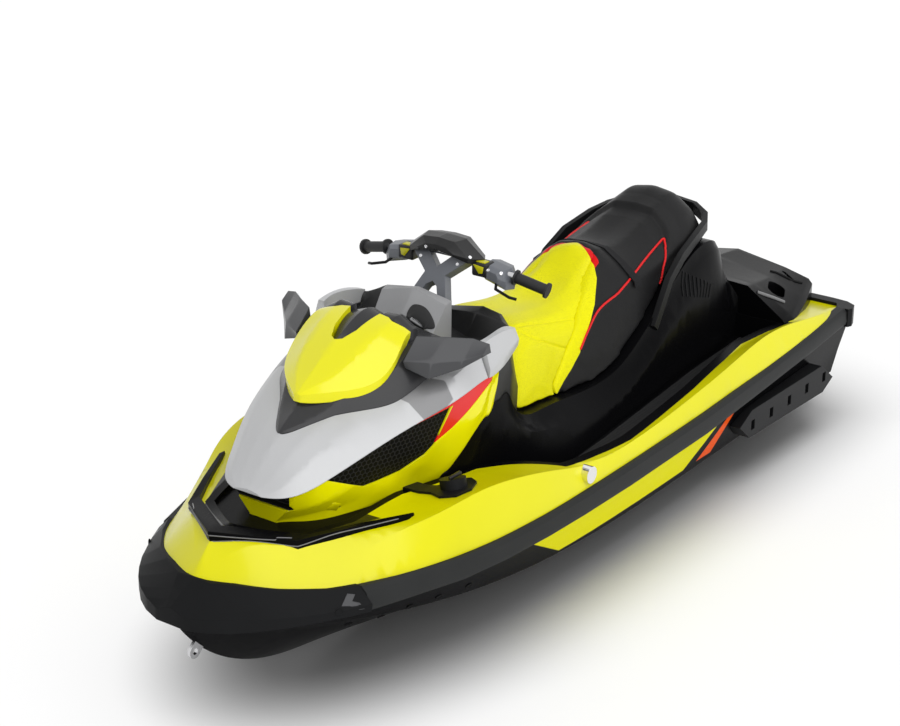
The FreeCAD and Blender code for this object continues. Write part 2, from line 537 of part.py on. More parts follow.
YOKE_FACE_SHARES = (
    (0.75, -0.05), (0.4, -0.05), (0.22, 0.22), (0, 0.32), (-0.22, 0.22), (-0.4, -0.05), (-0.75, -0.05),
    (-0.42, 0.5), (-1.12, 0.92), (-0.92, 1.12), (-0.6, 1.06), (0, 0.66), (0.6, 1.06), (0.92, 1.12),
    (1.12, 0.92),
    (0.42, 0.5),
)
INSERT_SECTION_SHARES = (
    (0.761, 0, 1, 0.01, 1, 0.013, 1.048, 0, 1.056),
    (0.7458, 0, 1, 0.056, 1, 0.059, 1.066, 0, 1.082),
    (0.7232, 0, 1, 0.092, 1, 0.095, 1.09, 0, 1.112),
    (0.7062, 0, 1, 0.092, 1, 0.095, 1.086, 0, 1.106),
    (0.6966, 0, 1, 0.082, 1, 0.085, 1.066, 0, 1.08),
)
HORN_SECTION_SHARES = (
    (0.7232, 0.115, 1.02, 0.118, 1.092, 0.193, 1.096, 0.289, 1.066, 0.298, 1.02),
    (0.7119, 0.108, 1.02, 0.111, 1.108, 0.2, 1.112, 0.298, 1.078, 0.308, 1.02),
    (0.7034, 0.121, 1.02, 0.128, 1.096, 0.197, 1.1, 0.285, 1.066, 0.292, 1.02),
)
BAR_PATH_SHARES = ((0.5802, 0.623, 1.116), (0.5904, 0.279, 1.168), (0.5932, 0.148, 1.186))
PAD_SECTION_SHARES = (
    (0.5763, 0, 1.18, 0.193, 1.168, 0.2, 1.182, 0.098, 1.236, 0, 1.24),
    (0.5904, 0, 1.2, 0.246, 1.172, 0.256, 1.188, 0.131, 1.246, 0, 1.252),
    (0.6045, 0, 1.2, 0.197, 1.18, 0.203, 1.196, 0.108, 1.244, 0, 1.25),
    (0.6102, 0, 1.212, 0.115, 1.2, 0.121, 1.208, 0.066, 1.226, 0, 1.23),
)
CONTROL_SECTION_SHARES = (
    (0.5734, 0.292, 1.13, 0.39, 1.112, 0.4, 1.136, 0.38, 1.166, 0.292, 1.176),
    (0.5825, 0.275, 1.118, 0.423, 1.096, 0.433, 1.13, 0.403, 1.168, 0.275, 1.184),
    (0.5944, 0.275, 1.124, 0.41, 1.102, 0.416, 1.132, 0.39, 1.166, 0.275, 1.182),
    (0.5994, 0.289, 1.136, 0.37, 1.126, 0.377, 1.142, 0.364, 1.158, 0.289, 1.166),
)
LEVER_PATH_SHARES = ((0.5944, 0.352, 1.13), (0.6034, 0.38, 1.112), (0.6045, 0.475, 1.096), (0.6011, 0.511, 1.09))
CAP_PATH_SHARES = ((0.7328, 0.652, 0.588), (0.7316, 0.636, 0.622))
CAP_PLAN_SHARES = (
    (0.75, 0.566), (0.7571, 0.656), (0.7514, 0.741), (0.7345, 0.77), (0.7147, 0.721), (0.7034, 0.639),
    (0.7119, 0.566), (0.7316, 0.533),
)


def bond_block(top):
    """All that lies below the bond line, or above it."""
    low, high = BOND_HEIGHT, BOND_HEIGHT + BOND_RISE
    end = BODY_HEIGHT + OVERRUN if top else -OVERRUN
    rear, front = -OVERRUN, LENGTH + OVERRUN
    rows = [(rear, high), (BOND_RISE_LENGTH, low), (front, low), (front, end), (rear, end)]
    return side_prism(rows, -HALF_BEAM, HALF_BEAM)


def engine_bay():
    return block(BAY_REAR, BAY_FRONT, -BAY_HALF_WIDTH, BAY_HALF_WIDTH, BAY_FLOOR, BODY_HEIGHT)


def pump_point(x, y=0, z=0):
    """A point placed from the pump's axis."""
    return spot(x, y, PUMP_HEIGHT + z)


def pump_tube(x_rear, x_front, outer_rear, outer_front, wall):
    """A tapered tube round the pump's axis."""
    outer = rod(pump_point(x_rear), pump_point(x_front), outer_rear, outer_front)
    bore = rod(pump_point(x_rear), pump_point(x_front), outer_rear - wall, outer_front - wall)
    return outer.cut(bore)


def intake_duct():
    top = PUMP_HEIGHT + PUMP_BORE
    rows = [
        (PUMP_FRONT, PUMP_HEIGHT - PUMP_BORE), (PUMP_FRONT, top), (INTAKE_REAR, top),
        (INTAKE_FRONT, -TRANSOM), (INTAKE_REAR, -TRANSOM),
    ]
    return side_prism(rows, -INTAKE_HALF_WIDTH, INTAKE_HALF_WIDTH)


def shaft_bore():
    radius = SHAFT_RADIUS + MOVING_GAP
    return rod(pump_point(PUMP_FRONT), pump_point(PUMP_FRONT + SHAFT_LENGTH), radius)


def make_hull():
    hull = body(HULL_SECTION_SHARES).common(bond_block(False))
    half = TUNNEL_HALF_WIDTH
    swing = GATE_X + (GATE_RADIUS + GATE_WALL) * math.sin(math.radians(GATE_SPREAD / 2))
    hull = hull.cut(block(-OVERRUN, PUMP_FRONT, -half, half, -OVERRUN, TUNNEL_TOP))
    hull = hull.cut(block(-OVERRUN, swing + MOVING_GAP, -half, half, -OVERRUN, RECESS_TOP))
    hull = hull.cut(intake_duct())
    hull = hull.cut(shaft_bore())
    return hull.cut(engine_bay())


def deck_body():
    return body(DECK_SECTION_SHARES).common(bond_block(True))


def inset(rows, height, margin):
    """A plan outline drawn inwards by a margin, corner by corner."""
    points = plan_points(rows, height)
    drawn = []
    for before, here, after in zip(points[-1:] + points[:-1], points, points[1:] + points[:1]):
        first, second = (here - before).normalize(), (after - here).normalize()
        normal = FreeCAD.Vector(first.y + second.y, -first.x - second.x, 0).normalize()
        reach = margin / (normal.x * first.y - normal.y * first.x)
        drawn.append(here - normal * reach)
    return outline(drawn)


def well_air():
    top = BOND_HEIGHT + BOND_RISE + BODY_HEIGHT / 4
    upper = inset(WELL_PLAN_SHARES, top, WELL_RIM)
    lower = inset(WELL_PLAN_SHARES, FLOOR_HEIGHT, WELL_RIM + WELL_SLOPE)
    air = Part.makeLoft([lower, upper], True, True)
    return air.cut(profile_prism(FLOOR_PROFILE_SHARES, -HALF_BEAM, HALF_BEAM))


def make_deck(outer):
    return outer.cut(plan_prism(WELL_PLAN_SHARES, 0, BODY_HEIGHT))


def make_well(outer):
    well = outer.common(plan_prism(WELL_PLAN_SHARES, 0, BODY_HEIGHT))
    return well.cut(well_air()).cut(engine_bay())


def make_mat():
    port = [spot(LENGTH * x, HALF_BEAM * y, FLOOR_HEIGHT) for x, y in MAT_PLAN_SHARES]
    return Part.Face(outline(port)).extrude(FreeCAD.Vector(0, 0, MAT_THICKNESS))


def make_rail():
    return body(RAIL_SECTION_SHARES, mirrored=False, ruled=True)


def make_guard(hull, deck):
    return body(GUARD_SECTION_SHARES, ruled=True).cut(hull).cut(deck)


def make_wing(deck):
    """The splash wing, drawn through side sections from one tip to the other."""
    half = side_sections(WING_SECTION_SHARES)
    return joined([half, starboard(half)]).cut(deck)


def make_seats(lower):
    """The rider's seat and the passengers' seat, split along a slanted joint."""
    whole = body(SEAT_SECTION_SHARES).cut(lower)
    cutter = profile_prism(SEAT_SPLIT_PROFILE_SHARES, -HALF_BEAM, HALF_BEAM)
    return whole.common(cutter), whole.cut(cutter)


def bin_box(margin):
    low, high = BIN_REAR - margin, BIN_FRONT + margin
    half = BIN_HALF_WIDTH + margin
    return block(low, high, -half, half, BIN_FLOOR - margin, BODY_HEIGHT)


def front_space(sunk, margin):
    """The mouth in the tip of the front body, under the hood."""
    reach = NOSE_SECTION_SHARES[-1][0] * LENGTH
    half = GRILLE_HALF_WIDTH - margin
    low, top = GRILLE_LOW + margin, GRILLE_TOP - margin
    return block(reach - 2 * GRILLE_DEPTH, reach - sunk / 2, -half, half, low, top)


def make_bin(nose_outer):
    tub = bin_box(BIN_WALL).cut(bin_box(0))
    return tub.common(nose_outer)


def hood_outer():
    return body(HOOD_SECTION_SHARES)


def make_hood():
    rows = lowered(HOOD_SECTION_SHARES, HOOD_SKIN, HOOD_SKIN)
    floor = 2 * HOOD_SKIN / BODY_HEIGHT
    inner = [(*row[:-3], row[-3] - floor, row[-2], row[-1] - floor) for row in rows]
    return hood_outer().cut(body(inner))


def make_fairing():
    return body(FAIRING_SECTION_SHARES).cut(plan_prism(NOTCH_PLAN_SHARES, 0, 2 * BODY_HEIGHT))


def side_sections(rows):
    """A solid through sections that stand side by side across the craft."""
    wires = []
    for row in rows:
        pairs = zip(row[1::2], row[2::2])
        wires.append(outline([at(x, row[0], z) for x, z in pairs]))
    return Part.makeLoft(wires, True, True)


def make_mirror(others):
    return trimmed(side_sections(MIRROR_SIDE_SHARES), others)


def lid_slab(side, sunk, proud, rear=0):
    """A slab on the sloped rear face of the dash, where the glove box lid lies."""
    head, along, out = lid_frame()
    first = head + along * (LID_MARGIN - side) - out * sunk
    step = along * (LID_LENGTH + 2 * side - rear)
    rise = out * (sunk + proud)
    half = LID_HALF_WIDTH + side
    rim = [first, first + step, first + step + rise, first + rise]
    corners = [corner - FreeCAD.Vector(0, half, 0) for corner in rim]
    return Part.Face(outline(corners)).extrude(FreeCAD.Vector(0, 2 * half, 0))


def lid_frame():
    """The hinge point of the lid, the way down its face and the way out of it."""
    foot, head = [at(row[0], 0, row[-1]) for row in DASH_SECTION_SHARES[:2]]
    along = (foot - head).normalize()
    return head, along, FreeCAD.Vector(along.z, 0, -along.x)


def make_dash(others):
    dash = body(DASH_SECTION_SHARES, ruled=True)
    dash = dash.cut(lid_slab(MOVING_GAP, LID_THICKNESS + SEAT_GAP, OVERRUN))
    dash = dash.cut(lid_slab(-BOX_LIP, LID_THICKNESS + BOX_DEPTH, OVERRUN))
    return trimmed(dash, others)


def trimmed(shape, others):
    for other in others:
        shape = shape.cut(other)
    return shape


def largest(shape):
    """The one solid that counts, without the slivers that a cut may leave."""
    return max(shape.Solids, key=lambda solid: solid.Volume)


def raised(shape, gap):
    return shape.translated(FreeCAD.Vector(0, 0, gap))


def port_body(rows):
    return body(rows, mirrored=False)


def make_shoulder(others):
    return trimmed(port_body(SHOULDER_SECTION_SHARES), others)


def make_gauge():
    """The display in the rear face of the pod, towards the rider."""
    face = POD_SECTION_SHARES[0][0] * LENGTH
    top = GAUGE_LOW + GAUGE_HEIGHT
    return block(face, face + GAUGE_THICKNESS, -GAUGE_HALF_WIDTH, GAUGE_HALF_WIDTH, GAUGE_LOW, top)


def make_pod(others):
    return trimmed(body(POD_SECTION_SHARES, ruled=True), others)


def side_pocket(rows, sunk, depth):
    """The part of the front body's port skin that lies inside a side outline."""
    outer = body(lowered(NOSE_SECTION_SHARES, sunk, 0))
    core = body(lowered(NOSE_SECTION_SHARES, depth, 0))
    return outer.cut(core).common(profile_prism(rows, HALF_BEAM / 8, HALF_BEAM))


def stadium(x, y, reach_x, reach_y, radius, low):
    """An upright long hole, open at the top, between two round ends."""
    ends = [spot(x + sign * reach_x, y + sign * reach_y, low) for sign in (-1, 1)]
    along = ends[1] - ends[0]
    side = FreeCAD.Vector(-along.y, along.x, 0).normalize() * radius
    up = FreeCAD.Vector(0, 0, PLATFORM_TOP - low)
    rim = [ends[0] - side, ends[1] - side, ends[1] + side, ends[0] + side]
    middle = Part.Face(outline(rim)).extrude(up)
    return joined([rod(end, end + up, radius) for end in ends] + [middle])


def make_platform(others):
    platform = trimmed(body(PLATFORM_SECTION_SHARES, ruled=True), others)
    for x, y, reach_x, reach_y, radius, depth in HOLE_SPOT_SHARES:
        hole = stadium(
            LENGTH * x, HALF_BEAM * y, LENGTH * reach_x, HALF_BEAM * reach_y, HALF_BEAM * radius,
            PLATFORM_TOP - BODY_HEIGHT * depth,
        )
        platform = platform.cut(hole).cut(starboard(hole))
    return platform


def make_handle(others):
    half = [at(*row) for row in HANDLE_PATH_SHARES]
    path = half + [across(p) for p in reversed(half[:-1])]
    return trimmed(blade_run(path, HANDLE_WIDTH, HANDLE_THICKNESS), others)


def blade_run(points, width, thickness):
    """A flat bar on edge that follows a path, mitred at its corners."""
    wires = []
    for before, here, after in zip(points[:1] + points[:-1], points, points[1:] + points[-1:]):
        along = (after - before).normalize()
        rise = (FreeCAD.Vector(0, 0, 1) - along * along.z).normalize() * (width / 2)
        side = along.cross(rise).normalize() * (thickness / 2)
        rim = [here + rise - side, here + rise + side, here - rise + side, here - rise - side]
        wires.append(outline(rim))
    return Part.makeLoft(wires, True, True)


def make_strap(seats, others):
    """A belt over the seat between rider and passenger."""
    proud = body(lowered(SEAT_SECTION_SHARES, -STRAP_THICKNESS, -STRAP_THICKNESS))
    front = STRAP_X + STRAP_WIDTH
    belt = proud.common(block(STRAP_X, front, -HALF_BEAM, HALF_BEAM, STRAP_FOOT, 2 * BODY_HEIGHT))
    grown = body(lowered(SEAT_SECTION_SHARES, -SEAT_GAP, -SEAT_GAP))
    return trimmed(belt.cut(grown), others)


def make_bumper(others):
    ring = plan_prism(BUMPER_PLAN_SHARES, BUMPER_BOTTOM, BUMPER_TOP)
    return trimmed(ring, others)


def make_sponson(hull):
    """A stabilizing fin on the side of the hull, with a row of slots in its face."""
    sponson = profile_prism(SPONSON_PROFILE_SHARES, SPONSON_IN, SPONSON_OUT)
    face, top = SPONSON_OUT - SLOT_DEPTH, SLOT_LOW + SLOT_HEIGHT
    for k in range(SLOT_COUNT):
        start = SLOT_START + k * SLOT_PITCH
        sponson = sponson.cut(block(start, start + SLOT_WIDTH, face, SPONSON_OUT, SLOT_LOW, top))
    return sponson.cut(hull)


def make_engine():
    middle = (BAY_REAR + BAY_FRONT) / 2
    half_length, half_width = ENGINE_LENGTH / 2, ENGINE_WIDTH / 2
    return block(
        middle - half_length, middle + half_length, -half_width, half_width,
        BAY_FLOOR, BAY_FLOOR + ENGINE_HEIGHT,
    )


def disc(x_rear, x_front, radius):
    return rod(pump_point(x_rear), pump_point(x_front), radius)


def make_pump():
    """Pump duct with its wear ring, stator and tapered venturi."""
    duct_rear = PUMP_FRONT - DUCT_LENGTH
    rear = duct_rear - VENTURI_LENGTH
    outer = [
        disc(duct_rear, PUMP_FRONT, PUMP_RADIUS),
        disc(PUMP_FRONT - PUMP_FLANGE, PUMP_FRONT, PUMP_FLANGE_RADIUS),
        rod(pump_point(rear), pump_point(duct_rear), VENTURI_RADIUS, PUMP_RADIUS),
        disc(rear - NECK_LENGTH, rear, VENTURI_RADIUS),
    ]
    for side in (-1, 1):
        start = pump_point(GATE_X, side * VENTURI_RADIUS)
        end = pump_point(GATE_X, side * (GATE_HALF_WIDTH + PIN_LENGTH))
        outer.append(rod(start, end, GATE_PIN_RADIUS))
    throat = VENTURI_RADIUS - VENTURI_WALL
    bores = [
        disc(duct_rear, PUMP_FRONT, PUMP_BORE),
        rod(pump_point(rear), pump_point(duct_rear), throat, PUMP_BORE),
        disc(rear - NECK_LENGTH, rear, throat),
    ]
    for side in (-1, 1):
        end = pump_point(RING_X, side * HALF_BEAM)
        bores.append(rod(pump_point(RING_X), end, PIN_RADIUS + SEAT_GAP))
    shell = trimmed(joined(outer), bores)
    hub = disc(duct_rear, duct_rear + VANE_LENGTH, HUB_RADIUS)
    cone = rod(pump_point(duct_rear - HUB_RADIUS * 2), pump_point(duct_rear), PIN_RADIUS, HUB_RADIUS)
    vanes = [turned_x(vane_blade(duct_rear), k * FULL_TURN / VANE_COUNT) for k in range(VANE_COUNT)]
    return joined([shell, hub, cone] + vanes)


def vane_blade(x):
    reach = PUMP_BORE + PIN_RADIUS - HUB_RADIUS
    low = pump_point(x, -VANE_THICKNESS / 2, HUB_RADIUS - PIN_RADIUS)
    return Part.makeBox(VANE_LENGTH, VANE_THICKNESS, reach + PIN_RADIUS, low)


def turned_x(shape, degrees):
    turned = shape.copy()
    turned.rotate(pump_point(0), FreeCAD.Vector(1, 0, 0), degrees)
    return turned


def screw_blade(rear):
    """A thin radial plate that turns about the shaft as it runs forward."""
    half = BLADE_THICKNESS / 2
    foot, tip = HUB_RADIUS - PIN_RADIUS, PUMP_BORE
    wires = []
    for k in range(BLADE_STATIONS + 1):
        share = k / BLADE_STATIONS
        x = rear + BLADE_LENGTH * share
        rim = [pump_point(x, y, z) for y, z in ((-half, foot), (half, foot), (half, tip), (-half, tip))]
        wires.append(turned_x(outline(rim), BLADE_TWIST * share))
    return Part.makeLoft(wires, True, True)


def make_impeller():
    """Hub, screw blades and the drive shaft that runs forward to the engine."""
    rear = PUMP_FRONT - DUCT_LENGTH + VANE_LENGTH + MOVING_GAP
    end = rear + BLADE_LENGTH
    hub = disc(rear, end, HUB_RADIUS)
    nose = rod(pump_point(end), pump_point(end + CONE_LENGTH), HUB_RADIUS, SHAFT_RADIUS)
    shaft = disc(end, PUMP_FRONT + SHAFT_LENGTH, SHAFT_RADIUS)
    blade = screw_blade(rear).common(disc(rear, end, PUMP_BORE - MOVING_GAP))
    blades = [turned_x(blade, k * FULL_TURN / BLADE_COUNT) for k in range(BLADE_COUNT)]
    return joined([hub, nose, shaft] + blades)


def make_trim_ring():
    """The ring that tips the nozzle up and down, on pins across the venturi."""
    inner = NOZZLE_FRONT_RADIUS + MOVING_GAP
    front = RING_X + RING_FRONT
    ring = disc(front - RING_LENGTH, front, inner + RING_WALL).cut(disc(front - RING_LENGTH, front, inner))
    for side in (-1, 1):
        start = pump_point(RING_X, side * (VENTURI_RADIUS - VENTURI_WALL + SEAT_GAP))
        ring = ring.fuse(rod(start, pump_point(RING_X, side * (inner + RING_WALL)), PIN_RADIUS))
    low, high = [pump_point(NOZZLE_X, 0, side * HALF_BEAM) for side in (-1, 1)]
    return ring.cut(rod(low, high, PIN_RADIUS + SEAT_GAP)).removeSplitter()


def make_nozzle():
    front = NOZZLE_X + NOZZLE_LEAD
    nozzle = pump_tube(front - NOZZLE_LENGTH, front, NOZZLE_END_RADIUS, NOZZLE_FRONT_RADIUS, NOZZLE_WALL)
    pins = []
    for side in (-1, 1):
        start = pump_point(NOZZLE_X, 0, side * (NOZZLE_FRONT_RADIUS - NOZZLE_WALL / 2))
        end = pump_point(NOZZLE_X, 0, side * (NOZZLE_FRONT_RADIUS + MOVING_GAP + RING_WALL))
        pins.append(rod(start, end, PIN_RADIUS))
    return joined([nozzle] + pins)


def make_gate():
    """The reversing bucket: a curved shell between two arms, parked over the nozzle."""
    pivot = pump_point(GATE_X)
    half = GATE_HALF_WIDTH
    ends = [pump_point(GATE_X, side * half) for side in (-1, 1)]
    shell = rod(*ends, GATE_RADIUS + GATE_WALL).cut(rod(*ends, GATE_RADIUS))
    reach = 2 * GATE_RADIUS
    spread = math.radians(GATE_SPREAD / 2)
    side = reach * math.tan(spread)
    wedge = outline([
        pivot - FreeCAD.Vector(0, half, 0),
        pivot + FreeCAD.Vector(-side, -half, reach),
        pivot + FreeCAD.Vector(side, -half, reach),
    ])
    bucket = shell.common(Part.Face(wedge).extrude(FreeCAD.Vector(0, 2 * half, 0)))
    arms = []
    for low in (-half, half - GATE_ARM):
        high = low + GATE_ARM
        arm = Part.makeBox(4 * GATE_PIN_RADIUS, GATE_ARM, GATE_RADIUS + GATE_WALL / 2)
        arm.translate(pivot + FreeCAD.Vector(-2 * GATE_PIN_RADIUS, low, 0))
        eye = rod(pump_point(GATE_X, low), pump_point(GATE_X, high), 2 * GATE_PIN_RADIUS)
        hole = rod(*ends, GATE_PIN_RADIUS + SEAT_GAP)
        arms.append(arm.fuse(eye).cut(hole))
    return joined([bucket] + arms)


def make_ride_plate():
    half = TUNNEL_HALF_WIDTH - SEAT_GAP
    top = PLATE_HEIGHT + PLATE_THICKNESS
    return block(PLATE_REAR, PUMP_FRONT - SEAT_GAP, -half, half, PLATE_HEIGHT, top)


def make_grate():
    half = INTAKE_HALF_WIDTH
    low, high = GRATE_HEIGHT, GRATE_HEIGHT + GRATE_BAR
    rear, front = INTAKE_REAR, INTAKE_FRONT - OVERRUN
    frame = block(rear, front, -half, half, low, high)
    gap = (2 * half - (GRATE_BARS + 2) * GRATE_BAR) / (GRATE_BARS + 1)
    for k in range(GRATE_BARS + 1):
        start = -half + GRATE_BAR + k * (gap + GRATE_BAR)
        frame = frame.cut(block(rear + GRATE_BAR, front - GRATE_BAR, start, start + gap, 0, 2 * high))
    return frame


def steer_axis():
    lean = math.radians(STEER_LEAN)
    return FreeCAD.Vector(-math.sin(lean), 0, math.cos(lean))


def make_column(others):
    """The fixed boss that the steering turns in."""
    base = spot(STEER_X, 0, STEER_Z)
    boss = rod(base - steer_axis() * COLUMN_LENGTH, base, COLUMN_RADIUS, COLUMN_RADIUS - BAR_RADIUS)
    return trimmed(boss, others)


def make_yoke():
    """Two crossed legs from the column to the bar clamps, over a round foot."""
    axis = steer_axis()
    base = spot(STEER_X, 0, STEER_Z) + axis * SEAT_GAP
    foot = rod(base, base + axis * YOKE_FOOT, COLUMN_RADIUS)
    low = base + axis * YOKE_FOOT
    forward = FreeCAD.Vector(axis.z, 0, -axis.x)
    corners = []
    for y_share, rise_share in YOKE_FACE_SHARES:
        corner = low + axis * (YOKE_HEIGHT * rise_share) - forward * (YOKE_DEPTH / 2)
        corners.append(corner + FreeCAD.Vector(0, YOKE_HALF_WIDTH * y_share, 0))
    cross = Part.Face(outline(corners)).extrude(forward * YOKE_DEPTH)
    return joined([foot, cross])


def bar_points():
    half = [at(*row) for row in BAR_PATH_SHARES]
    return half + [across(p) for p in reversed(half)]


def make_bar(yoke):
    return tube_run(bar_points(), BAR_RADIUS).cut(yoke)


def make_grip():
    end, knee = [at(*row) for row in BAR_PATH_SHARES[:2]]
    along = (knee - end).normalize()
    grip = rod(end - along * GRIP_CAP, end + along * GRIP_LENGTH, GRIP_RADIUS)
    for place in (-GRIP_CAP, GRIP_LENGTH - GRIP_CAP):
        grip = grip.fuse(rod(end + along * place, end + along * (place + GRIP_CAP), GRIP_FLANGE_RADIUS))
    return grip.cut(rod(end, end + along * (2 * GRIP_LENGTH), BAR_RADIUS + SEAT_GAP)).removeSplitter()


def make_lever(control):
    return tube_run([at(*row) for row in LEVER_PATH_SHARES], LEVER_RADIUS).cut(control)


def make_step():
    """The boarding step: two arms on the transom's brackets and a tread across them."""
    x_low, x_high = TRANSOM - STEP_GAP - STEP_THICKNESS, TRANSOM - STEP_GAP
    top = STEP_HEIGHT + STEP_REACH
    half = STEP_HALF_WIDTH
    pieces = [block(x_low, x_high, -half, half, top - 2 * STEP_ARM, top)]
    for low in (-half, half - STEP_ARM):
        pieces.append(block(x_low, x_high, low, low + STEP_ARM, STEP_HEIGHT - STEP_THICKNESS / 2, top))
    step = joined(pieces)
    ends = [spot((x_low + x_high) / 2, y, STEP_HEIGHT) for y in (-HALF_BEAM, HALF_BEAM)]
    return step.cut(rod(*ends, PIN_RADIUS + SEAT_GAP))


def make_bracket():
    """One hinge of the boarding step, with its pin."""
    x_pin = TRANSOM - STEP_GAP - STEP_THICKNESS / 2
    low = STEP_HALF_WIDTH + MOVING_GAP
    foot, top = STEP_HEIGHT - STEP_ARM, STEP_HEIGHT + STEP_ARM
    cheek = block(x_pin - STEP_ARM / 2, TRANSOM, low, low + STEP_BRACKET, foot, top)
    start = spot(x_pin, low - MOVING_GAP - STEP_ARM, STEP_HEIGHT)
    pin = rod(start, spot(x_pin, low, STEP_HEIGHT), PIN_RADIUS)
    return joined([cheek, pin])


def eye_plate(x, y, z, slope, others):
    """A towing eye: a rounded plate with a hole across it, its root turned up by a slope into the hull."""
    low = spot(x, y - EYE_THICKNESS / 2, z)
    lift = FreeCAD.Vector(0, EYE_THICKNESS, 0)
    root = Part.makeBox(EYE_REACH, EYE_THICKNESS, 2 * EYE_RADIUS, low - FreeCAD.Vector(0, 0, EYE_RADIUS))
    root.rotate(low, FreeCAD.Vector(0, -1, 0), slope)
    plate = trimmed(rod(low, low + lift, EYE_RADIUS).fuse(root), others)
    return plate.cut(rod(low - lift, low + 2 * lift, EYE_BORE)).removeSplitter()


def make_cap(deck):
    low, high = [at(*row) for row in CAP_PATH_SHARES]
    axis = (high - low).normalize()
    cap = rod(low, low + axis * CAP_REACH, CAP_RADIUS)
    base = raised(deck, CAP_BASE).common(plan_prism(CAP_PLAN_SHARES, BOND_HEIGHT, BODY_HEIGHT))
    return joined([base, cap]).cut(deck)


def make_vent(deck):
    start = spot(VENT_X, HALF_BEAM / 2, VENT_Z)
    end = spot(VENT_X, VENT_Y, VENT_Z)
    return rod(start, end, VENT_RADIUS).cut(deck)


def save_pair(name, shape):
    save(name, Part.makeCompound([shape, starboard(shape)]))


def main():
    os.makedirs("parts", exist_ok=True)
    hull = make_hull()
    save("hull", hull)
    outer = deck_body()
    deck = make_deck(outer)
    save("deck", deck)
    well = make_well(outer)
    save("footwell", well)
    mat = make_mat()
    save_pair("footwell_mats", mat)
    save("bow_guard", make_guard(hull, outer))
    rail = make_rail().cut(hull).cut(outer)
    save_pair("side_rails", rail)
    bumper = make_bumper([hull, outer, rail, starboard(rail)])
    save("stern_bumper", bumper)
    save("splash_wing", make_wing(outer))
    pedestal_whole = body(PEDESTAL_SECTION_SHARES).cut(well)
    pedestal = pedestal_whole.cut(engine_bay())
    nose_whole = trimmed(body(NOSE_SECTION_SHARES), [well, pedestal_whole, raised(hood_outer(), -SEAT_GAP)])
    pocket = side_pocket(GRILLE_PROFILE_SHARES, 0, POCKET_DEPTH)
    pocket = pocket.fuse(side_pocket(ACCENT_PROFILE_SHARES, 0, POCKET_DEPTH))
    nose = nose_whole.cut(bin_box(BIN_WALL)).cut(pocket).cut(starboard(pocket))
    front = nose_whole.cut(bin_box(BIN_WALL)).common(front_space(0, 0))
    nose = nose.cut(front_space(0, 0))
    accent = side_pocket(ACCENT_PROFILE_SHARES, ACCENT_SUNK, POCKET_DEPTH).common(nose_whole)
    grille = side_pocket(GRILLE_PROFILE_SHARES, GRILLE_SUNK, POCKET_DEPTH).common(nose_whole).cut(accent)
    save_pair("accents", accent)
    save_pair("side_grilles", grille)
    save("side_panels", pedestal)
    save("front_body", nose)
    save("storage_bin", make_bin(nose_whole))
    save("front_grille", front.common(front_space(GRILLE_DEPTH, SEAT_GAP)))
    hood = make_hood()
    fairing = make_fairing()
    horn = port_body(HORN_SECTION_SHARES)
    crown = joined([body(CROWN_SECTION_SHARES), body(INSERT_SECTION_SHARES), horn, starboard(horn)])
    crown = largest(trimmed(crown, [hood_outer(), fairing]))
    save("hood", hood)
    save("hood_crown", crown)
    save("fairing", fairing)
    mirror = make_mirror([hood_outer(), crown, fairing])
    save_pair("mirrors", mirror)
    save_pair("mirror_glass", side_sections(GLASS_SIDE_SHARES).cut(mirror))
    dash = make_dash([pedestal_whole, nose_whole])
    save("dash", dash)
    shoulder = make_shoulder([dash, nose_whole])
    save_pair("shoulders", shoulder)
    pod = make_pod([dash])
    gauge = make_gauge().common(pod)
    save("gauge_pod", pod.cut(gauge))
    save("gauge", gauge)
    save("glove_lid", lid_slab(0, LID_THICKNESS, 0))
    front, rear = make_seats(raised(pedestal_whole, SEAT_GAP))
    front = front.cut(dash)
    save("seat_front", front)
    save("seat_rear", rear)
    save("seat_strap", make_strap([front, rear], [pedestal_whole]))
    handle = make_handle([pedestal_whole, rear, front])
    save("grab_handle", handle)
    platform = make_platform([outer, well, pedestal_whole, handle, bumper])
    save("rear_platform", platform)
    sponson = make_sponson(hull)
    save_pair("sponsons", sponson)
    save("engine", make_engine())
    save("jet_pump", make_pump())
    save("impeller", make_impeller())
    save("trim_ring", make_trim_ring())
    save("nozzle", make_nozzle())
    save("reverse_gate", make_gate())
    save("ride_plate", make_ride_plate().cut(make_pump()))
    save("intake_grate", make_grate().cut(hull))
    save("steering_column", make_column([dash, pod]))
    yoke = make_yoke()
    save("steering_yoke", yoke)
    bar = make_bar(yoke)
    save("handlebar", bar)
    bar_space = tube_run(bar_points(), BAR_RADIUS + SEAT_GAP)
    pad = trimmed(body(PAD_SECTION_SHARES, ruled=True), [bar_space, yoke])
    save("bar_pad", pad)
    grip = make_grip()
    housing = body(CONTROL_SECTION_SHARES, mirrored=False, ruled=True)
    control = trimmed(housing, [bar_space, pad, grip])
    lever = make_lever(control)
    save_pair("bar_controls", control)
    save_pair("bar_grips", grip)
    save_pair("bar_levers", lever)
    save("boarding_step", make_step())
    bracket = make_bracket().cut(hull)
    save_pair("step_hinges", bracket)
    save("bow_eye", eye_plate(EYE_X, 0, EYE_Z, FULL_TURN / 2 - STEM_SLOPE, [hull]))
    eye = eye_plate(-EYE_RADIUS / 2, STERN_EYE_Y, STERN_EYE_Z, 0, [hull])
    save_pair("stern_eyes", eye)
    save("fuel_cap", largest(make_cap(outer).cut(nose_whole)))
    vent = make_vent(outer)
    save_pair("deck_vents", vent)


main()
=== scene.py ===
"""Looks of a three-seat, jet-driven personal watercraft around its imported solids."""
import json
import math

import bpy
from mathutils import Matrix, Vector
from mathutils.bvhtree import BVHTree
from mathutils.kdtree import KDTree


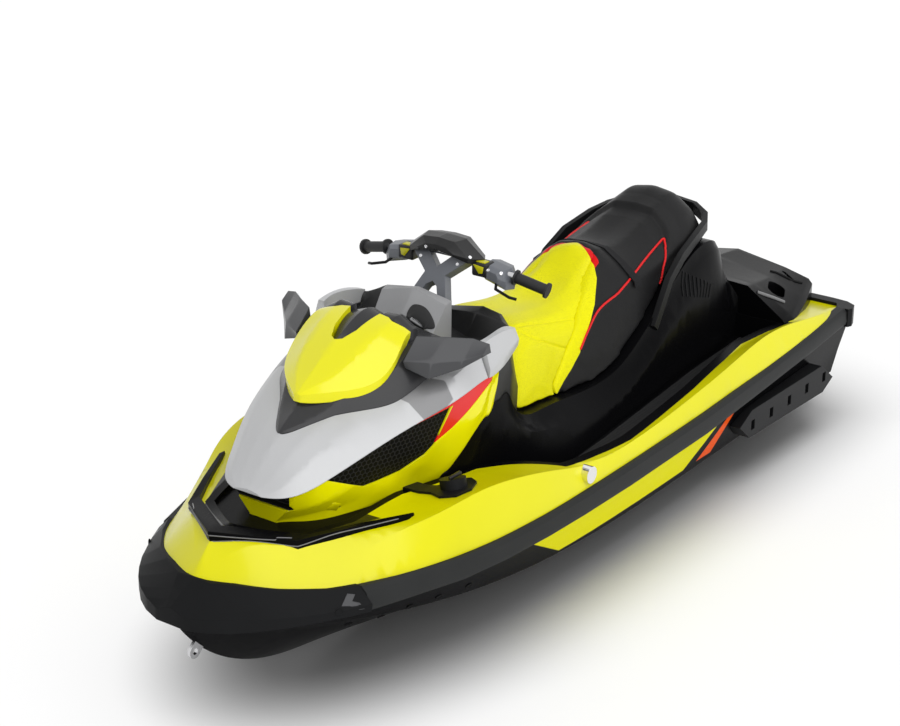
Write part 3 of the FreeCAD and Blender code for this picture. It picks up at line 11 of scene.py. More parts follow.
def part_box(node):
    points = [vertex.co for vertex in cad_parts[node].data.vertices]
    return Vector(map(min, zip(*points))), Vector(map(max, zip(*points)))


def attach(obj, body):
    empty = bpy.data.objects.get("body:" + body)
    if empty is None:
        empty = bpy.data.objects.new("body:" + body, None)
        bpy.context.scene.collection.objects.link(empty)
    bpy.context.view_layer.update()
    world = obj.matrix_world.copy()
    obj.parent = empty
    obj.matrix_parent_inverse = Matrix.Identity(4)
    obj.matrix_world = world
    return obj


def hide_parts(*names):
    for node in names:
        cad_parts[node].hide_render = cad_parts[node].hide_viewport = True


bl_info = {
    "name": "Personal watercraft",
    "version": (1, 0, 0),
    "blender": (4, 5, 0),
    "location": "View3D > Sidebar > Watercraft",
    "description": "Dresses the solids of a personal watercraft in gelcoat, vinyl, foam, rubber and metal",
    "category": "Object",
}

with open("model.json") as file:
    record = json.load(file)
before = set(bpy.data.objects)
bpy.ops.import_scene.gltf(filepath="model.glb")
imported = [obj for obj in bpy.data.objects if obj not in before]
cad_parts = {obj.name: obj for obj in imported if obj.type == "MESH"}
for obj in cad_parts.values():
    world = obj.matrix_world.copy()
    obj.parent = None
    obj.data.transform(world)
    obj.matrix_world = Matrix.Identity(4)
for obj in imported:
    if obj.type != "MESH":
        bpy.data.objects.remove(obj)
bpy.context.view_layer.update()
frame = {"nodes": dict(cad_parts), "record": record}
MM = 0.001
BODY_OF = {node: body for body, group in frame["record"]["behaviour"]["bodies"].items() for node in group}

# Places are counted forward from a line just behind the hull, to port and up from the keel.
BEHIND_HULL = 20 * MM
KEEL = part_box("hull")[0][2]
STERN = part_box("hull")[0][0] - BEHIND_HULL

# The camera stands where the photograph was taken.
AIM = Vector((0.101, -0.150, 0.409))
AZIMUTH = math.radians(36.196)
ELEVATION = math.radians(21.982)
DISTANCE = 7.555
LENS = 83.76
SENSOR = 36.0
CLIP_END = 200.0

# Light from all around the craft, as a share of white.
FILL = 0.42


def spot(x, y, z):
    """A place from millimetres forward of the stern, to port and above the keel."""
    return Vector((STERN + x * MM, y * MM, KEEL + z * MM))


def spots(*rows):
    """Several such places."""
    return [spot(*row) for row in rows]


def mirrored(*rows):
    """The same places on the starboard side."""
    return [Vector((place.x, -place.y, place.z)) for place in spots(*rows)]


# The ending of a piece's name, and what gives its places, on each side.
SIDES = (("_port", spots), ("_starboard", mirrored))


# Shader nodes
class Value:
    """A socket that adds Math nodes when it is used in a sum."""

    def __init__(self, maker, socket):
        self.maker = maker
        self.socket = socket

    def calc(self, operation, *others):
        """One Math node with this value first."""
        node = self.maker.tree.nodes.new("ShaderNodeMath")
        node.operation = operation
        for place, item in enumerate((self,) + others):
            self.maker.feed(node.inputs[place], item)
        return Value(self.maker, node.outputs[0])

    def reflected(self, operation, first):
        """One Math node with a number first and this value second."""
        node = self.maker.tree.nodes.new("ShaderNodeMath")
        node.operation = operation
        node.inputs[0].default_value = first
        self.maker.feed(node.inputs[1], self)
        return Value(self.maker, node.outputs[0])

    def __add__(self, other):
        return self.calc("ADD", other)

    __radd__ = __add__

    def __sub__(self, other):
        return self.calc("SUBTRACT", other)

    def __rsub__(self, other):
        return self.reflected("SUBTRACT", other)

    def __mul__(self, other):
        return self.calc("MULTIPLY", other)

    __rmul__ = __mul__

    def __truediv__(self, other):
        return self.calc("DIVIDE", other)

    def above(self, edge):
        """1 where the value is over the edge."""
        return self.calc("GREATER_THAN", edge)

    def below(self, edge):
        """1 where the value is under the edge."""
        return self.calc("LESS_THAN", edge)

    def size(self):
        """The value without its sign."""
        return self.calc("ABSOLUTE")

    def least(self, other):
        """The smaller of two values."""
        return self.calc("MINIMUM", other)

    def most(self, other):
        """The larger of two values."""
        return self.calc("MAXIMUM", other)

    def repeat(self, step):
        """The place within a repeated step, from 0 to 1."""
        return (self / step).calc("FRACT")

    def ease(self, low, high):
        """0 at low, 1 at high and smooth between."""
        node = self.maker.node("MapRange", {"interpolation_type": "SMOOTHSTEP"},
                               {"Value": self, "From Min": low, "From Max": high})
        return Value(self.maker, node.outputs["Result"])


class Finish:
    """One material on the Principled shader."""

    EDGE_SOFT = 2.0

    def __init__(self, name):
        self.material = bpy.data.materials.new(name)
        self.material.use_nodes = True
        self.tree = self.material.node_tree
        self.shader = self.tree.nodes["Principled BSDF"]
        self.place = self.node("TexCoord", {}, {}).outputs["Object"]
        parts = self.node("SeparateXYZ", {}, {"Vector": self.place})
        self.x, self.y, self.z = (Value(self, parts.outputs[axis]) for axis in "XYZ")
        self.forward = (self.x - STERN) / MM
        self.side = self.y.size() / MM
        self.high = (self.z - KEEL) / MM

    def feed(self, socket, item):
        """Links a value or a socket, or sets a plain number or colour."""
        if isinstance(item, Value):
            item = item.socket
        if isinstance(item, bpy.types.NodeSocket):
            self.tree.links.new(item, socket)
        elif isinstance(item, tuple) and len(item) == 3 and socket.type == "RGBA":
            socket.default_value = item + (1.0,)
        else:
            socket.default_value = item

    def node(self, kind, settings, inputs):
        """Adds any other node, with its settings first."""
        node = self.tree.nodes.new("ShaderNode" + kind)
        stops = settings.pop("stops", None)
        for name, item in settings.items():
            setattr(node, name, item)
        if stops:
            ramp = node.color_ramp
            while len(ramp.elements) < len(stops):
                ramp.elements.new(1.0)
            for element, (place, colour) in zip(ramp.elements, stops):
                element.position = place
                element.color = colour + (1.0,)
        for name, item in inputs.items():
            self.feed(node.inputs[name], item)
        return node

    def noise(self, lumps, detail=3.0, stretch=(1.0, 1.0, 1.0)):
        """Noise from 0 to 1, with so many lumps to the metre."""
        mapping = self.node("Mapping", {}, {"Vector": self.place, "Scale": stretch})
        node = self.node("TexNoise", {}, {"Vector": mapping.outputs[0], "Scale": lumps, "Detail": detail})
        return Value(self, node.outputs["Fac"])

    def cells(self, lumps, feature="F1"):
        """Distance in a field of cells, with so many to the metre."""
        node = self.node("TexVoronoi", {"feature": feature}, {"Vector": self.place, "Scale": lumps})
        return Value(self, node.outputs["Distance"])

    def mix(self, mask, first, second):
        """The first colour where the mask is 0, and the second where it is 1."""
        node = self.node("Mix", {"data_type": "RGBA"}, {})
        self.feed(node.inputs[0], mask)
        self.feed(node.inputs[6], first)
        self.feed(node.inputs[7], second)
        return node.outputs[2]

    def shade(self, mask, colour, first, second):
        """The colour times the first share where the mask is 0, and times the second where it is 1."""
        return self.mix(mask, tint(colour, first), tint(colour, second))

    def inside(self, u, v, corners):
        """1 within a convex outline of two coordinates in millimetres."""
        pairs = list(zip(corners, corners[1:] + corners[:1]))
        turn = sum(a[0] * b[1] - b[0] * a[1] for a, b in pairs)
        mask = None
        for start, end in pairs:
            reach = math.copysign(math.dist(start, end), turn)
            rise, run = (end[1] - start[1]) / reach, (end[0] - start[0]) / reach
            within = (v - start[1]) * run - (u - start[0]) * rise
            edge = within.ease(-self.EDGE_SOFT, self.EDGE_SOFT)
            mask = mask * edge if mask else edge
        return mask

    def through(self, value, points):
        """The value of a smooth line through a few points."""
        first, last = points[0][0], points[-1][0]
        top = max(point[1] for point in points)
        stops = [((point[0] - first) / (last - first), (point[1] / top,) * 3) for point in points]
        ramp = self.node("ValToRGB", {"stops": stops}, {"Fac": (value - first) / (last - first)})
        return Value(self, ramp.outputs["Color"]) * top

    def set(self, **sockets):
        """Sets or links the shader's sockets, with _ for a space in a name."""
        for name, item in sockets.items():
            self.feed(self.shader.inputs[name.replace("_", " ")], item)

    def bump(self, height, depth, edge=0.0):
        """Relief of so many metres, on edges rounded by so much."""
        inputs = {"Height": height, "Distance": depth, "Strength": 1.0}
        if edge:
            inputs["Normal"] = self.node("Bevel", {"samples": 4}, {"Radius": edge}).outputs[0]
        node = self.node("Bump", {}, inputs)
        self.feed(self.shader.inputs["Normal"], node.outputs[0])


def tint(colour, share):
    """A colour made darker or lighter by a share."""
    return tuple(min(1.0, part * share) for part in colour)


# Finishes
ALONG = (0.04, 1.0, 1.0)
BRUSHED = (0.03, 1.0, 1.0)
MOULDED_EDGE = 3 * MM
CAST_EDGE = 1.5 * MM
FINE_EDGE = 1 * MM
HULL_EDGE = 4 * MM
PEEL = 0.02 * MM


def gelcoat(name, colour, roughness, coat, level, dark=None):
    """Glossy gelcoat with a faint orange peel and scuffs, black within an outline seen from above."""
    finish = Finish(name)
    shade = finish.shade(finish.noise(lumps=3.0), colour, 0.94, 1.05)
    if dark:
        shade = finish.mix(finish.inside(finish.forward, finish.side, dark), shade, BLACK)
    finish.set(Base_Color=shade)
    scuff = finish.noise(lumps=900.0, detail=2.0, stretch=ALONG).ease(0.62, 0.8)
    finish.set(Roughness=scuff * 0.05 + roughness)
    finish.set(Coat_Weight=coat, Coat_Roughness=0.04, Specular_IOR_Level=level)
    finish.bump(finish.noise(lumps=160.0, detail=1.0), PEEL, MOULDED_EDGE)
    return finish.material


def moulded(name, colour, roughness, level=0.4):
    """Moulded plastic with a fine stipple and a faint mottle."""
    finish = Finish(name)
    tone = finish.noise(lumps=6.0)
    finish.set(Base_Color=finish.shade(tone, colour, 0.85, 1.15))
    finish.set(Roughness=tone * 0.12 + (roughness - 0.06), Specular_IOR_Level=level)
    finish.bump(finish.noise(lumps=1400.0, detail=2.0), 0.12 * MM, MOULDED_EDGE)
    return finish.material


def vinyl(name, colour, roughness, level):
    """Marine vinyl with a pebbled grain."""
    finish = Finish(name)
    pore = finish.cells(lumps=420.0, feature="SMOOTH_F1").ease(0.25, 0.7)
    shade = finish.shade(finish.noise(lumps=5.0), colour, 0.93, 1.06)
    finish.set(Base_Color=finish.mix(pore * 0.25, shade, tint(colour, 0.75)))
    finish.set(Roughness=pore * 0.1 + roughness, Specular_IOR_Level=level, Sheen_Weight=0.05)
    finish.bump(pore * -1.0, 0.35 * MM)
    return finish.material


def foam_mat(name, colour, pitch=14 * MM):
    """Closed-cell foam mat with lengthwise ribs, its grooves painted darker as painted shade."""
    finish = Finish(name)
    groove_and_shade = (finish.y.repeat(pitch) - 0.5).size().ease(0.3, 0.42)
    speck = finish.noise(lumps=700.0)
    # Painted shade: the grooves are painted at half the colour and the ribs lighter.
    finish.set(Base_Color=finish.shade(groove_and_shade, colour, 1.25, 0.5))
    finish.set(Roughness=speck * 0.1 + 0.72, Specular_IOR_Level=0.3)
    finish.bump(groove_and_shade * -1.0 + speck * 0.1, 1.5 * MM)
    return finish.material


def honeycomb(name, colour, cell=18 * MM):
    """Black grille panel with a raised six-sided mesh, the cells within its walls painted near black as
    painted shade in the openings.
    """
    finish = Finish(name)
    tall = math.sqrt(3.0)
    high = cell * tall

    def hexagon(shift):
        across = ((finish.x + shift * cell / 2).repeat(cell) - 0.5).size()
        up = ((finish.z + shift * high / 2).repeat(high) - 0.5).size() * tall
        return (across * 0.5 + up * (tall / 2)).most(across)

    wall = hexagon(0.0).least(hexagon(1.0)).ease(0.38, 0.44)
    # Painted shade: the cells between the walls are painted near black and the walls lighter.
    finish.set(Base_Color=finish.shade(wall, colour, 0.1, 1.8))
    finish.set(Roughness=finish.noise(lumps=900.0) * 0.1 + 0.45, Specular_IOR_Level=0.08)
    finish.bump(wall, 4 * MM)
    return finish.material


def cast(name, colour):
    """Cast alloy with a sandy skin."""
    finish = Finish(name)
    speck = finish.noise(lumps=500.0, detail=4.0)
    finish.set(Base_Color=finish.shade(finish.noise(lumps=12.0), colour, 0.8, 1.1))
    finish.set(Metallic=0.9, Roughness=speck * 0.15 + 0.42)
    finish.bump(speck, 0.3 * MM, CAST_EDGE)
    return finish.material


def polished(name, colour, roughness=0.12):
    """Polished or brushed stainless steel."""
    finish = Finish(name)
    line = finish.noise(lumps=1500.0, detail=2.0, stretch=BRUSHED)
    finish.set(Base_Color=finish.shade(line, colour, 0.9, 1.05))
    finish.set(Metallic=1.0, Roughness=line * 0.12 + roughness)
    finish.bump(line, 0.03 * MM, FINE_EDGE)
    return finish.material


def rubber(name, colour):
    """Soft black rubber."""
    finish = Finish(name)
    speck = finish.noise(lumps=1100.0, detail=2.0)
    finish.set(Base_Color=finish.shade(speck, colour, 0.8, 1.25))
    finish.set(Roughness=speck * 0.12 + 0.5, Specular_IOR_Level=0.35)
    finish.bump(speck, 0.2 * MM, FINE_EDGE)
    return finish.material


def webbing(name, colour, weft=2.4 * MM, warp=3 * MM):
    """Woven strap."""
    finish = Finish(name)
    weave = (finish.y.repeat(weft) - 0.5).size() + (finish.z.repeat(warp) - 0.5).size()
    finish.set(Base_Color=finish.shade(weave, colour, 1.6, 0.6))
    finish.set(Roughness=weave * 0.1 + 0.75, Specular_IOR_Level=0.2)
    finish.bump(weave * -1.0, 0.6 * MM)
    return finish.material


YELLOW = (0.80, 0.76, 0.0)
SILVER = (0.56, 0.565, 0.575)
BLACK = (0.003, 0.003, 0.0035)
PATCH = (0.2, 0.2, 0.205)
RED = (0.80, 0.006, 0.008)
ORANGE = (0.85, 0.10, 0.012)
SEAT_BLACK = (0.011, 0.011, 0.0115)
PORE_BLACK = (0.0, 0.0, 0.0)

# The moulded body and the seats are painted a lighter copy of the deck's yellow: painted light, for their
# brighter look where they face up into the light.
BODY_PAINTED_LIGHT = 1.14
SEAT_PAINTED_LIGHT = 1.16

# The parting of the seats: its place ahead of the stern over the top, by the distance out to the
# side, and down the flanks, by the height above the keel, with the width of the red stripe behind it.
PARTING_ACROSS = [(0, 1272), (21, 1282), (77, 1315), (113, 1332), (140, 1357)]
PARTING_DOWN = [(600, 1800), (642, 1722), (668, 1665), (691, 1623), (721, 1578), (808, 1472), (837, 1432),
                (876, 1394), (913, 1357)]
RED_WIDTH = [(8, 0), (50, 20), (90, 26), (120, 28), (121, 0)]

# Outlines of paint, in millimetres forward of the stern and above the keel or out to the side.
FLASH = [(1313, 217), (2130, 218), (2440, 395), (1080, 395)]
STRIPE = [(1102, 212), (1214, 217), (1010, 401), (984, 396)]
RECESS = [(3290, 0), (3200, 135), (3130, 200), (2880, 320), (2880, 0)]
HOOD_PATCH = [(2672, 222), (2650, 345), (2530, 345), (2520, 300), (2560, 222)]


def hull_paint(name, yellow):
    """Black gelcoat with a yellow flash and an orange stripe on each side."""
    finish = Finish(name)
    black = finish.shade(finish.noise(lumps=3.0), BLACK, 0.9, 1.1)
    shade = finish.mix(finish.inside(finish.forward, finish.high, FLASH), black, yellow)
    shade = finish.mix(finish.inside(finish.forward, finish.high, STRIPE), shade, ORANGE)
    finish.set(Base_Color=shade)
    scuff = finish.noise(lumps=700.0, detail=2.0, stretch=ALONG).ease(0.6, 0.8)
    finish.set(Roughness=scuff * 0.08 + 0.25, Specular_IOR_Level=0.02)
    finish.bump(finish.noise(lumps=160.0, detail=1.0), PEEL, HULL_EDGE)
    return finish.material


def hood_paint(name, silver):
    """Silver flake paint with a dark patch on each flank of the hood."""
    finish = Finish(name)
    flake = finish.cells(lumps=1800.0)
    base = finish.shade(finish.noise(lumps=2.5), silver, 0.96, 1.04)
    base = finish.mix(finish.inside(finish.forward, finish.side, HOOD_PATCH), base, PATCH)
    finish.set(Base_Color=finish.mix(flake.ease(0.1, 0.9) * 0.25, base, tint(silver, 0.6)))
    finish.set(Metallic=0.1, Roughness=flake * 0.08 + 0.36, Coat_Weight=0.15, Coat_Roughness=0.1)
    finish.bump(finish.noise(lumps=140.0, detail=1.0), PEEL, MOULDED_EDGE)
    return finish.material


def seat_vinyl(name, colour, level):
    """Pebbled vinyl, coloured in front of the parting, red along it and black behind."""
    finish = Finish(name)
    over = finish.through(finish.side, PARTING_ACROSS)
    down = finish.through(finish.high, PARTING_DOWN)
    flank = finish.side.above(PARTING_ACROSS[-1][0])
    ahead = finish.forward - over * (1 - flank) - down * flank
    red = ahead.above(-1.0 * finish.through(finish.side, RED_WIDTH)) * ahead.below(0.0)
    pore = finish.cells(lumps=420.0, feature="SMOOTH_F1").ease(0.25, 0.7)
    front = finish.shade(finish.noise(lumps=5.0), colour, 0.95, 1.05)
    shade = finish.mix(ahead.ease(-1.0, 1.0), SEAT_BLACK, front)
    shade = finish.mix(red, shade, RED)
    finish.set(Base_Color=finish.mix(pore * 0.2, shade, PORE_BLACK))
    finish.set(Roughness=pore * 0.1 + 0.4, Specular_IOR_Level=level)
    finish.bump(pore * -1.0, 0.3 * MM)
    return finish.material


def make_finishes():
    """Every material of the craft, by name."""
    colours = bpy.context.scene.craft_colours
    yellow = tuple(colours.yellow)
    # Painted light: lighter copies of the same yellow for the moulded body and the seats.
    body = tint(yellow, BODY_PAINTED_LIGHT)
    seat = tint(yellow, SEAT_PAINTED_LIGHT)
    crown, mirror, gauge = (0.034, 0.034, 0.036), (0.06, 0.061, 0.065), (0.01, 0.011, 0.013)
    return {
        "hull_gelcoat": hull_paint("hull_gelcoat", yellow),
        "body_silver": hood_paint("body_silver", tuple(colours.silver)),
        "deck_gelcoat": gelcoat("deck_gelcoat", yellow, roughness=0.24, coat=0.08, level=0.3, dark=RECESS),
        "body_yellow": gelcoat("body_yellow", body, roughness=0.16, coat=0.25, level=0.3),
        "panel_black": gelcoat("panel_black", BLACK, roughness=0.26, coat=0.0, level=0.035),
        "crown_black": gelcoat("crown_black", crown, roughness=0.25, coat=0.0, level=0.25),
        "mirror_black": gelcoat("mirror_black", mirror, roughness=0.26, coat=0.0, level=0.3),
        "gauge_glass": gelcoat("gauge_glass", gauge, roughness=0.05, coat=0.6, level=0.5),
        "accent_red": gelcoat("accent_red", RED, roughness=0.2, coat=0.2, level=0.3),
        # Painted highlight on the splash wing's edges, and the grey of the tie bars.
        "edge_grey": gelcoat("edge_grey", (0.16, 0.16, 0.165), roughness=0.2, coat=0.2, level=0.5),
        "trim_dark": moulded("trim_dark", (0.009, 0.0093, 0.010), roughness=0.4, level=0.1),
        "guard_dark": moulded("guard_dark", (0.013, 0.0133, 0.014), roughness=0.4, level=0.03),
        "rail_dark": moulded("rail_dark", (0.03, 0.031, 0.031), roughness=0.42, level=0.05),
        "pod_grey": moulded("pod_grey", (0.34, 0.342, 0.35), roughness=0.36, level=0.3),
        "liner_black": moulded("liner_black", (0.003, 0.003, 0.003), roughness=0.6, level=0.15),
        "dash_black": moulded("dash_black", (0.01, 0.01, 0.0105), roughness=0.38, level=0.35),
        "bar_grey": moulded("bar_grey", (0.15, 0.16, 0.18), roughness=0.32),
        "notch_grey": moulded("notch_grey", (0.07, 0.071, 0.075), roughness=0.38, level=0.2),
        "button_yellow": moulded("button_yellow", (0.62, 0.58, 0.0), roughness=0.3),
        "seat_yellow": seat_vinyl("seat_yellow", seat, level=0.2),
        "seat_black": seat_vinyl("seat_black", seat, level=0.14),
        "piping_red": vinyl("piping_red", RED, roughness=0.4, level=0.3),
        "mat_foam": foam_mat("mat_foam", (0.008, 0.008, 0.0085)),
        "grille_black": honeycomb("grille_black", (0.012, 0.012, 0.013)),
        "webbing": webbing("webbing", (0.01, 0.01, 0.011)),
        "grip_rubber": rubber("grip_rubber", (0.012, 0.012, 0.013)),
        "engine_metal": cast("engine_metal", (0.3, 0.3, 0.31)),
        "pump_metal": cast("pump_metal", (0.5, 0.51, 0.52)),
        "steel": polished("steel", (0.6, 0.6, 0.61)),
        "screw_steel": polished("screw_steel", (0.75, 0.75, 0.77), roughness=0.2),
        "chrome": polished("chrome", (0.8, 0.8, 0.81), roughness=0.06),
        "mirror_face": polished("mirror_face", (0.85, 0.87, 0.9), roughness=0.02),
    }


# Nodes whose paint differs from the rest of their slot.
OWN_FINISH = {
    "bow_guard": "guard_dark",
    "side_rails": "rail_dark",
    "gauge_pod": "pod_grey",
    "hood_crown": "crown_black",
}

finishes = {}


def dress(piece, name):
    """Gives a piece one finish."""
    piece.data.materials.clear()
    piece.data.materials.append(finishes[name])


# Working on meshes
MERGE = 0.02 * MM

# Degrees over which an edge stays a crease, and over which it is bevelled.
SKIN_CREASE = 35.0
PIECE_CREASE = 40.0
SEAT_CREASE = 50.0
BEAD_CREASE = 60.0
PIECE_BEVEL = 50.0
BLOCK_BEVEL = 30.0

# How far forward and out the storage bin's skin reaches under a height.
BIN_FOOT = spot(2850, 100, 665)


def only(piece):
    """Selects one object and makes it active."""
    bpy.ops.object.select_all(action="DESELECT")
    piece.hide_set(False)
    piece.select_set(True)
    bpy.context.view_layer.objects.active = piece


def copied(node, name):
    """A new object with a merged copy of a solid's mesh."""
    piece = bpy.data.objects.new(name, frame["nodes"][node].data.copy())
    bpy.context.scene.collection.objects.link(piece)
    only(piece)
    bpy.ops.object.mode_set(mode="EDIT")
    bpy.ops.mesh.select_all(action="SELECT")
    bpy.ops.mesh.remove_doubles(threshold=MERGE)
    bpy.ops.mesh.customdata_custom_splitnormals_clear()
    bpy.ops.object.mode_set(mode="OBJECT")
    return piece


def applied(piece, kind, **settings):
    """Adds one modifier with its settings and applies it."""
    modifier = piece.modifiers.new(kind.lower(), kind)
    for name, item in settings.items():
        setattr(modifier, name, item)
    only(piece)
    bpy.ops.object.modifier_apply(modifier=modifier.name)


def bevelled(piece, width, segments=2, degrees=PIECE_BEVEL):
    """Rounds the edges over an angle."""
    limit = math.radians(degrees)
    applied(piece, "BEVEL", width=width, segments=segments, limit_method="ANGLE", angle_limit=limit)


def smoothed(piece, degrees=PIECE_CREASE):
    """Smooth shading with creases over an angle."""
    only(piece)
    bpy.ops.object.shade_smooth_by_angle(angle=math.radians(degrees))


def drawn_in(piece):
    """Draws the foot of the storage bin in behind the body's skin."""
    for vertex in piece.data.vertices:
        if vertex.co.z < BIN_FOOT.z:
            vertex.co.x = min(BIN_FOOT.x, vertex.co.x)
            vertex.co.y = max(-BIN_FOOT.y, min(BIN_FOOT.y, vertex.co.y))


def finished(piece, finish, body):
    """Gives a piece its finish and the body that it rides on."""
    dress(piece, finish)
    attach(piece, body)
    return piece


def standing_for(piece, node, finish):
    """Finishes a piece and shows it in place of a solid, on the solid's body."""
    finished(piece, finish, BODY_OF[node])
    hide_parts(node)


def skin(node, finish):
    """The visible skin of a solid whose form is right: merged, smooth and finished."""
    piece = copied(node, node + "_skin")
    if node == "storage_bin":
        drawn_in(piece)
    smoothed(piece, SKIN_CREASE)
    applied(piece, "WEIGHTED_NORMAL", keep_sharp=True)
    standing_for(piece, node, finish)


# Places on solids
FINE_STEP = 4 * MM
COARSE_STEP = 10 * MM
surfaces = {}


def tree_of(piece):
    """A search tree of a mesh object's faces."""
    corners = [vertex.co for vertex in piece.data.vertices]
    return BVHTree.FromPolygons(corners, [tuple(face.vertices) for face in piece.data.polygons])


def surface(node):
    """A search tree of a solid's faces."""
    if node not in surfaces:
        surfaces[node] = tree_of(frame["nodes"][node])
    return surfaces[node]


def curved(places, step=FINE_STEP, closed=False):
    """Closely spaced places on a smooth line through a few."""
    line = []
    if closed:
        ends = [places[-1]] + list(places) + list(places[:2])
    else:
        ends = [places[0] * 2 - places[1]] + list(places) + [places[-1] * 2 - places[-2]]
    for before, start, end, after in zip(ends, ends[1:], ends[2:], ends[3:]):
        count = max(2, int((end - start).length / step))
        for k in range(count):
            t = k / count
            line.append(0.5 * (2 * start + (end - before) * t
                               + (2 * before - 5 * start + 4 * end - after) * t ** 2
                               + (3 * start - before - 3 * end + after) * t ** 3))
    return line if closed else line + [places[-1]]


def laid(places, node, lift=0.0, step=FINE_STEP, closed=False):
    """A smooth line laid on a solid, raised by a lift."""
    line = []
    for place in curved(places, step, closed):
        near, out, face, gap = surface(node).find_nearest(place)
        line.append(near + out * lift)
    return line


def seats_on(node, places):
    """The nearest place on a solid for each place, with the way out of it."""
    return [surface(node).find_nearest(place)[:2] for place in places]


def node_near(place, nodes):
    """The node whose surface is nearest to a place."""
    return min(nodes, key=lambda node: surface(node).find_nearest(place)[3])


# New pieces
PLATE_BEVEL = 1.2 * MM
RAISED_EDGE = 4 * MM
RAISED_HEIGHT = 2 * MM
FACING = 0.9

# The rim, the slope of the socket and its depth on a round head, as shares of its radius and height.
RIM_SHARE = 0.08
SLOPE_SHARE = 0.05
SOCKET_SHARE = 0.8


def straight(piece):
    """Makes the faces of a closed mesh point outwards."""
    only(piece)
    bpy.ops.object.mode_set(mode="EDIT")
    bpy.ops.mesh.select_all(action="SELECT")
    bpy.ops.mesh.normals_make_consistent(inside=False)
    bpy.ops.object.mode_set(mode="OBJECT")


def bead(name, line, radius, finish):
    """A round bar along a line on the hull's body."""
    bpy.ops.object.select_all(action="DESELECT")
    bpy.ops.curve.primitive_nurbs_path_add()
    path = bpy.context.object
    path.name = name
    path.data.splines.clear()
    spline = path.data.splines.new("POLY")
    spline.points.add(len(line) - 1)
    for point, place in zip(spline.points, line):
        point.co = (*place, 1.0)
    path.data.bevel_depth = radius
    path.data.bevel_resolution = 2
    path.data.use_fill_caps = True
    bpy.ops.object.convert(target="MESH")
    piece = bpy.context.object
    piece.data.name = name
    straight(piece)
    smoothed(piece, BEAD_CREASE)
    return finished(piece, finish, "hull")


def plate(name, corners, height, finish, body="hull", onto=None, cuts=0):
    """A bevelled plate on an outline, half sunk where it is laid on a solid."""
    bpy.ops.object.select_all(action="DESELECT")
    bpy.ops.mesh.primitive_circle_add(vertices=len(corners), radius=height, fill_type="NGON")
    piece = bpy.context.object
    piece.name = name
    for vertex, corner in zip(piece.data.vertices, corners):
        vertex.co = corner
    if onto:
        applied(piece, "TRIANGULATE")
        applied(piece, "SUBSURF", subdivision_type="SIMPLE", levels=cuts, render_levels=cuts)
        target = frame["nodes"][onto]
        applied(piece, "SHRINKWRAP", wrap_method="NEAREST_SURFACEPOINT", target=target)
    applied(piece, "SOLIDIFY", thickness=height * 2, offset=0.0, use_even_offset=False)
    straight(piece)
    bevelled(piece, PLATE_BEVEL)
    smoothed(piece)
    return finished(piece, finish, body)


def pick(piece, test):
    """Selects the faces that pass a test and opens edit mode."""
    only(piece)
    bpy.context.tool_settings.mesh_select_mode = (False, False, True)
    bpy.ops.object.mode_set(mode="EDIT")
    bpy.ops.mesh.select_all(action="DESELECT")
    bpy.ops.object.mode_set(mode="OBJECT")
    for face in piece.data.polygons:
        face.select = test(face)
    bpy.ops.object.mode_set(mode="EDIT")


def button(name, radius, height, socket, sides=24):
    """A round head with a bevelled rim and a sunk socket, upright at the origin."""
    bpy.ops.object.select_all(action="DESELECT")
    bpy.ops.mesh.primitive_cylinder_add(vertices=sides, radius=radius, depth=height * 2)
    piece = bpy.context.object
    piece.name = name
    pick(piece, lambda face: face.normal.z > FACING)
    bpy.ops.mesh.inset(thickness=radius * (1 - socket), depth=0.0)
    bpy.ops.mesh.inset(thickness=radius * SLOPE_SHARE, depth=-height * SOCKET_SHARE)
    bpy.ops.object.mode_set(mode="OBJECT")
    bevelled(piece, radius * RIM_SHARE)
    smoothed(piece)
    return piece


def block(name, centre, size, finish, body, bevel):
    """A bevelled block whose top and front narrow and stand a little proud."""
    bpy.ops.object.select_all(action="DESELECT")
    bpy.ops.mesh.primitive_cube_add(size=1.0, location=centre, scale=[side * MM for side in size])
    piece = bpy.context.object
    piece.name = name
    bpy.ops.object.transform_apply(location=True, rotation=True, scale=True)
    pick(piece, lambda face: face.normal.z > FACING or face.normal.x > FACING)
    bpy.ops.mesh.inset(thickness=RAISED_EDGE, depth=RAISED_HEIGHT)
    bpy.ops.object.mode_set(mode="OBJECT")
    bevelled(piece, bevel, segments=3, degrees=BLOCK_BEVEL)
    smoothed(piece)
    return finished(piece, finish, body)


def scattered(first, seats, finish, body="hull"):
    """Copies of a modelled piece at each place and facing, joined into one."""
    copies = []
    for place, facing in seats:
        copy = bpy.data.objects.new(first.name, first.data.copy())
        bpy.context.scene.collection.objects.link(copy)
        copy.data.transform(Matrix.Translation(place) @ facing.to_track_quat("Z", "Y").to_matrix().to_4x4())
        copies.append(copy)
    name = first.name
    bpy.data.objects.remove(first)
    only(copies[0])
    for copy in copies[1:]:
        copy.select_set(True)
    bpy.ops.object.join()
    copies[0].name = name
    return finished(copies[0], finish, body)


# Settings
class CraftColours(bpy.types.PropertyGroup):
    """Colours that a user would change."""

    yellow: bpy.props.FloatVectorProperty(
        name="Yellow", description="Gelcoat and front seat", subtype="COLOR", size=3, default=YELLOW)
    silver: bpy.props.FloatVectorProperty(
        name="Silver", description="Hood and shoulder panels", subtype="COLOR", size=3, default=SILVER)


class CraftStage(bpy.types.PropertyGroup):
    """The camera's lens and distance, and the light from all around."""

    lens: bpy.props.FloatProperty(
        name="Lens", description="Focal length", default=LENS, unit="CAMERA")
    distance: bpy.props.FloatProperty(
        name="Distance", description="From the camera to its aim", default=DISTANCE, unit="LENGTH")
    fill: bpy.props.FloatProperty(
        name="Fill", description="Strength of the light from all around", default=FILL, subtype="FACTOR")


# Materials and skins of the solids
SEATS = ("seat_front", "seat_rear")


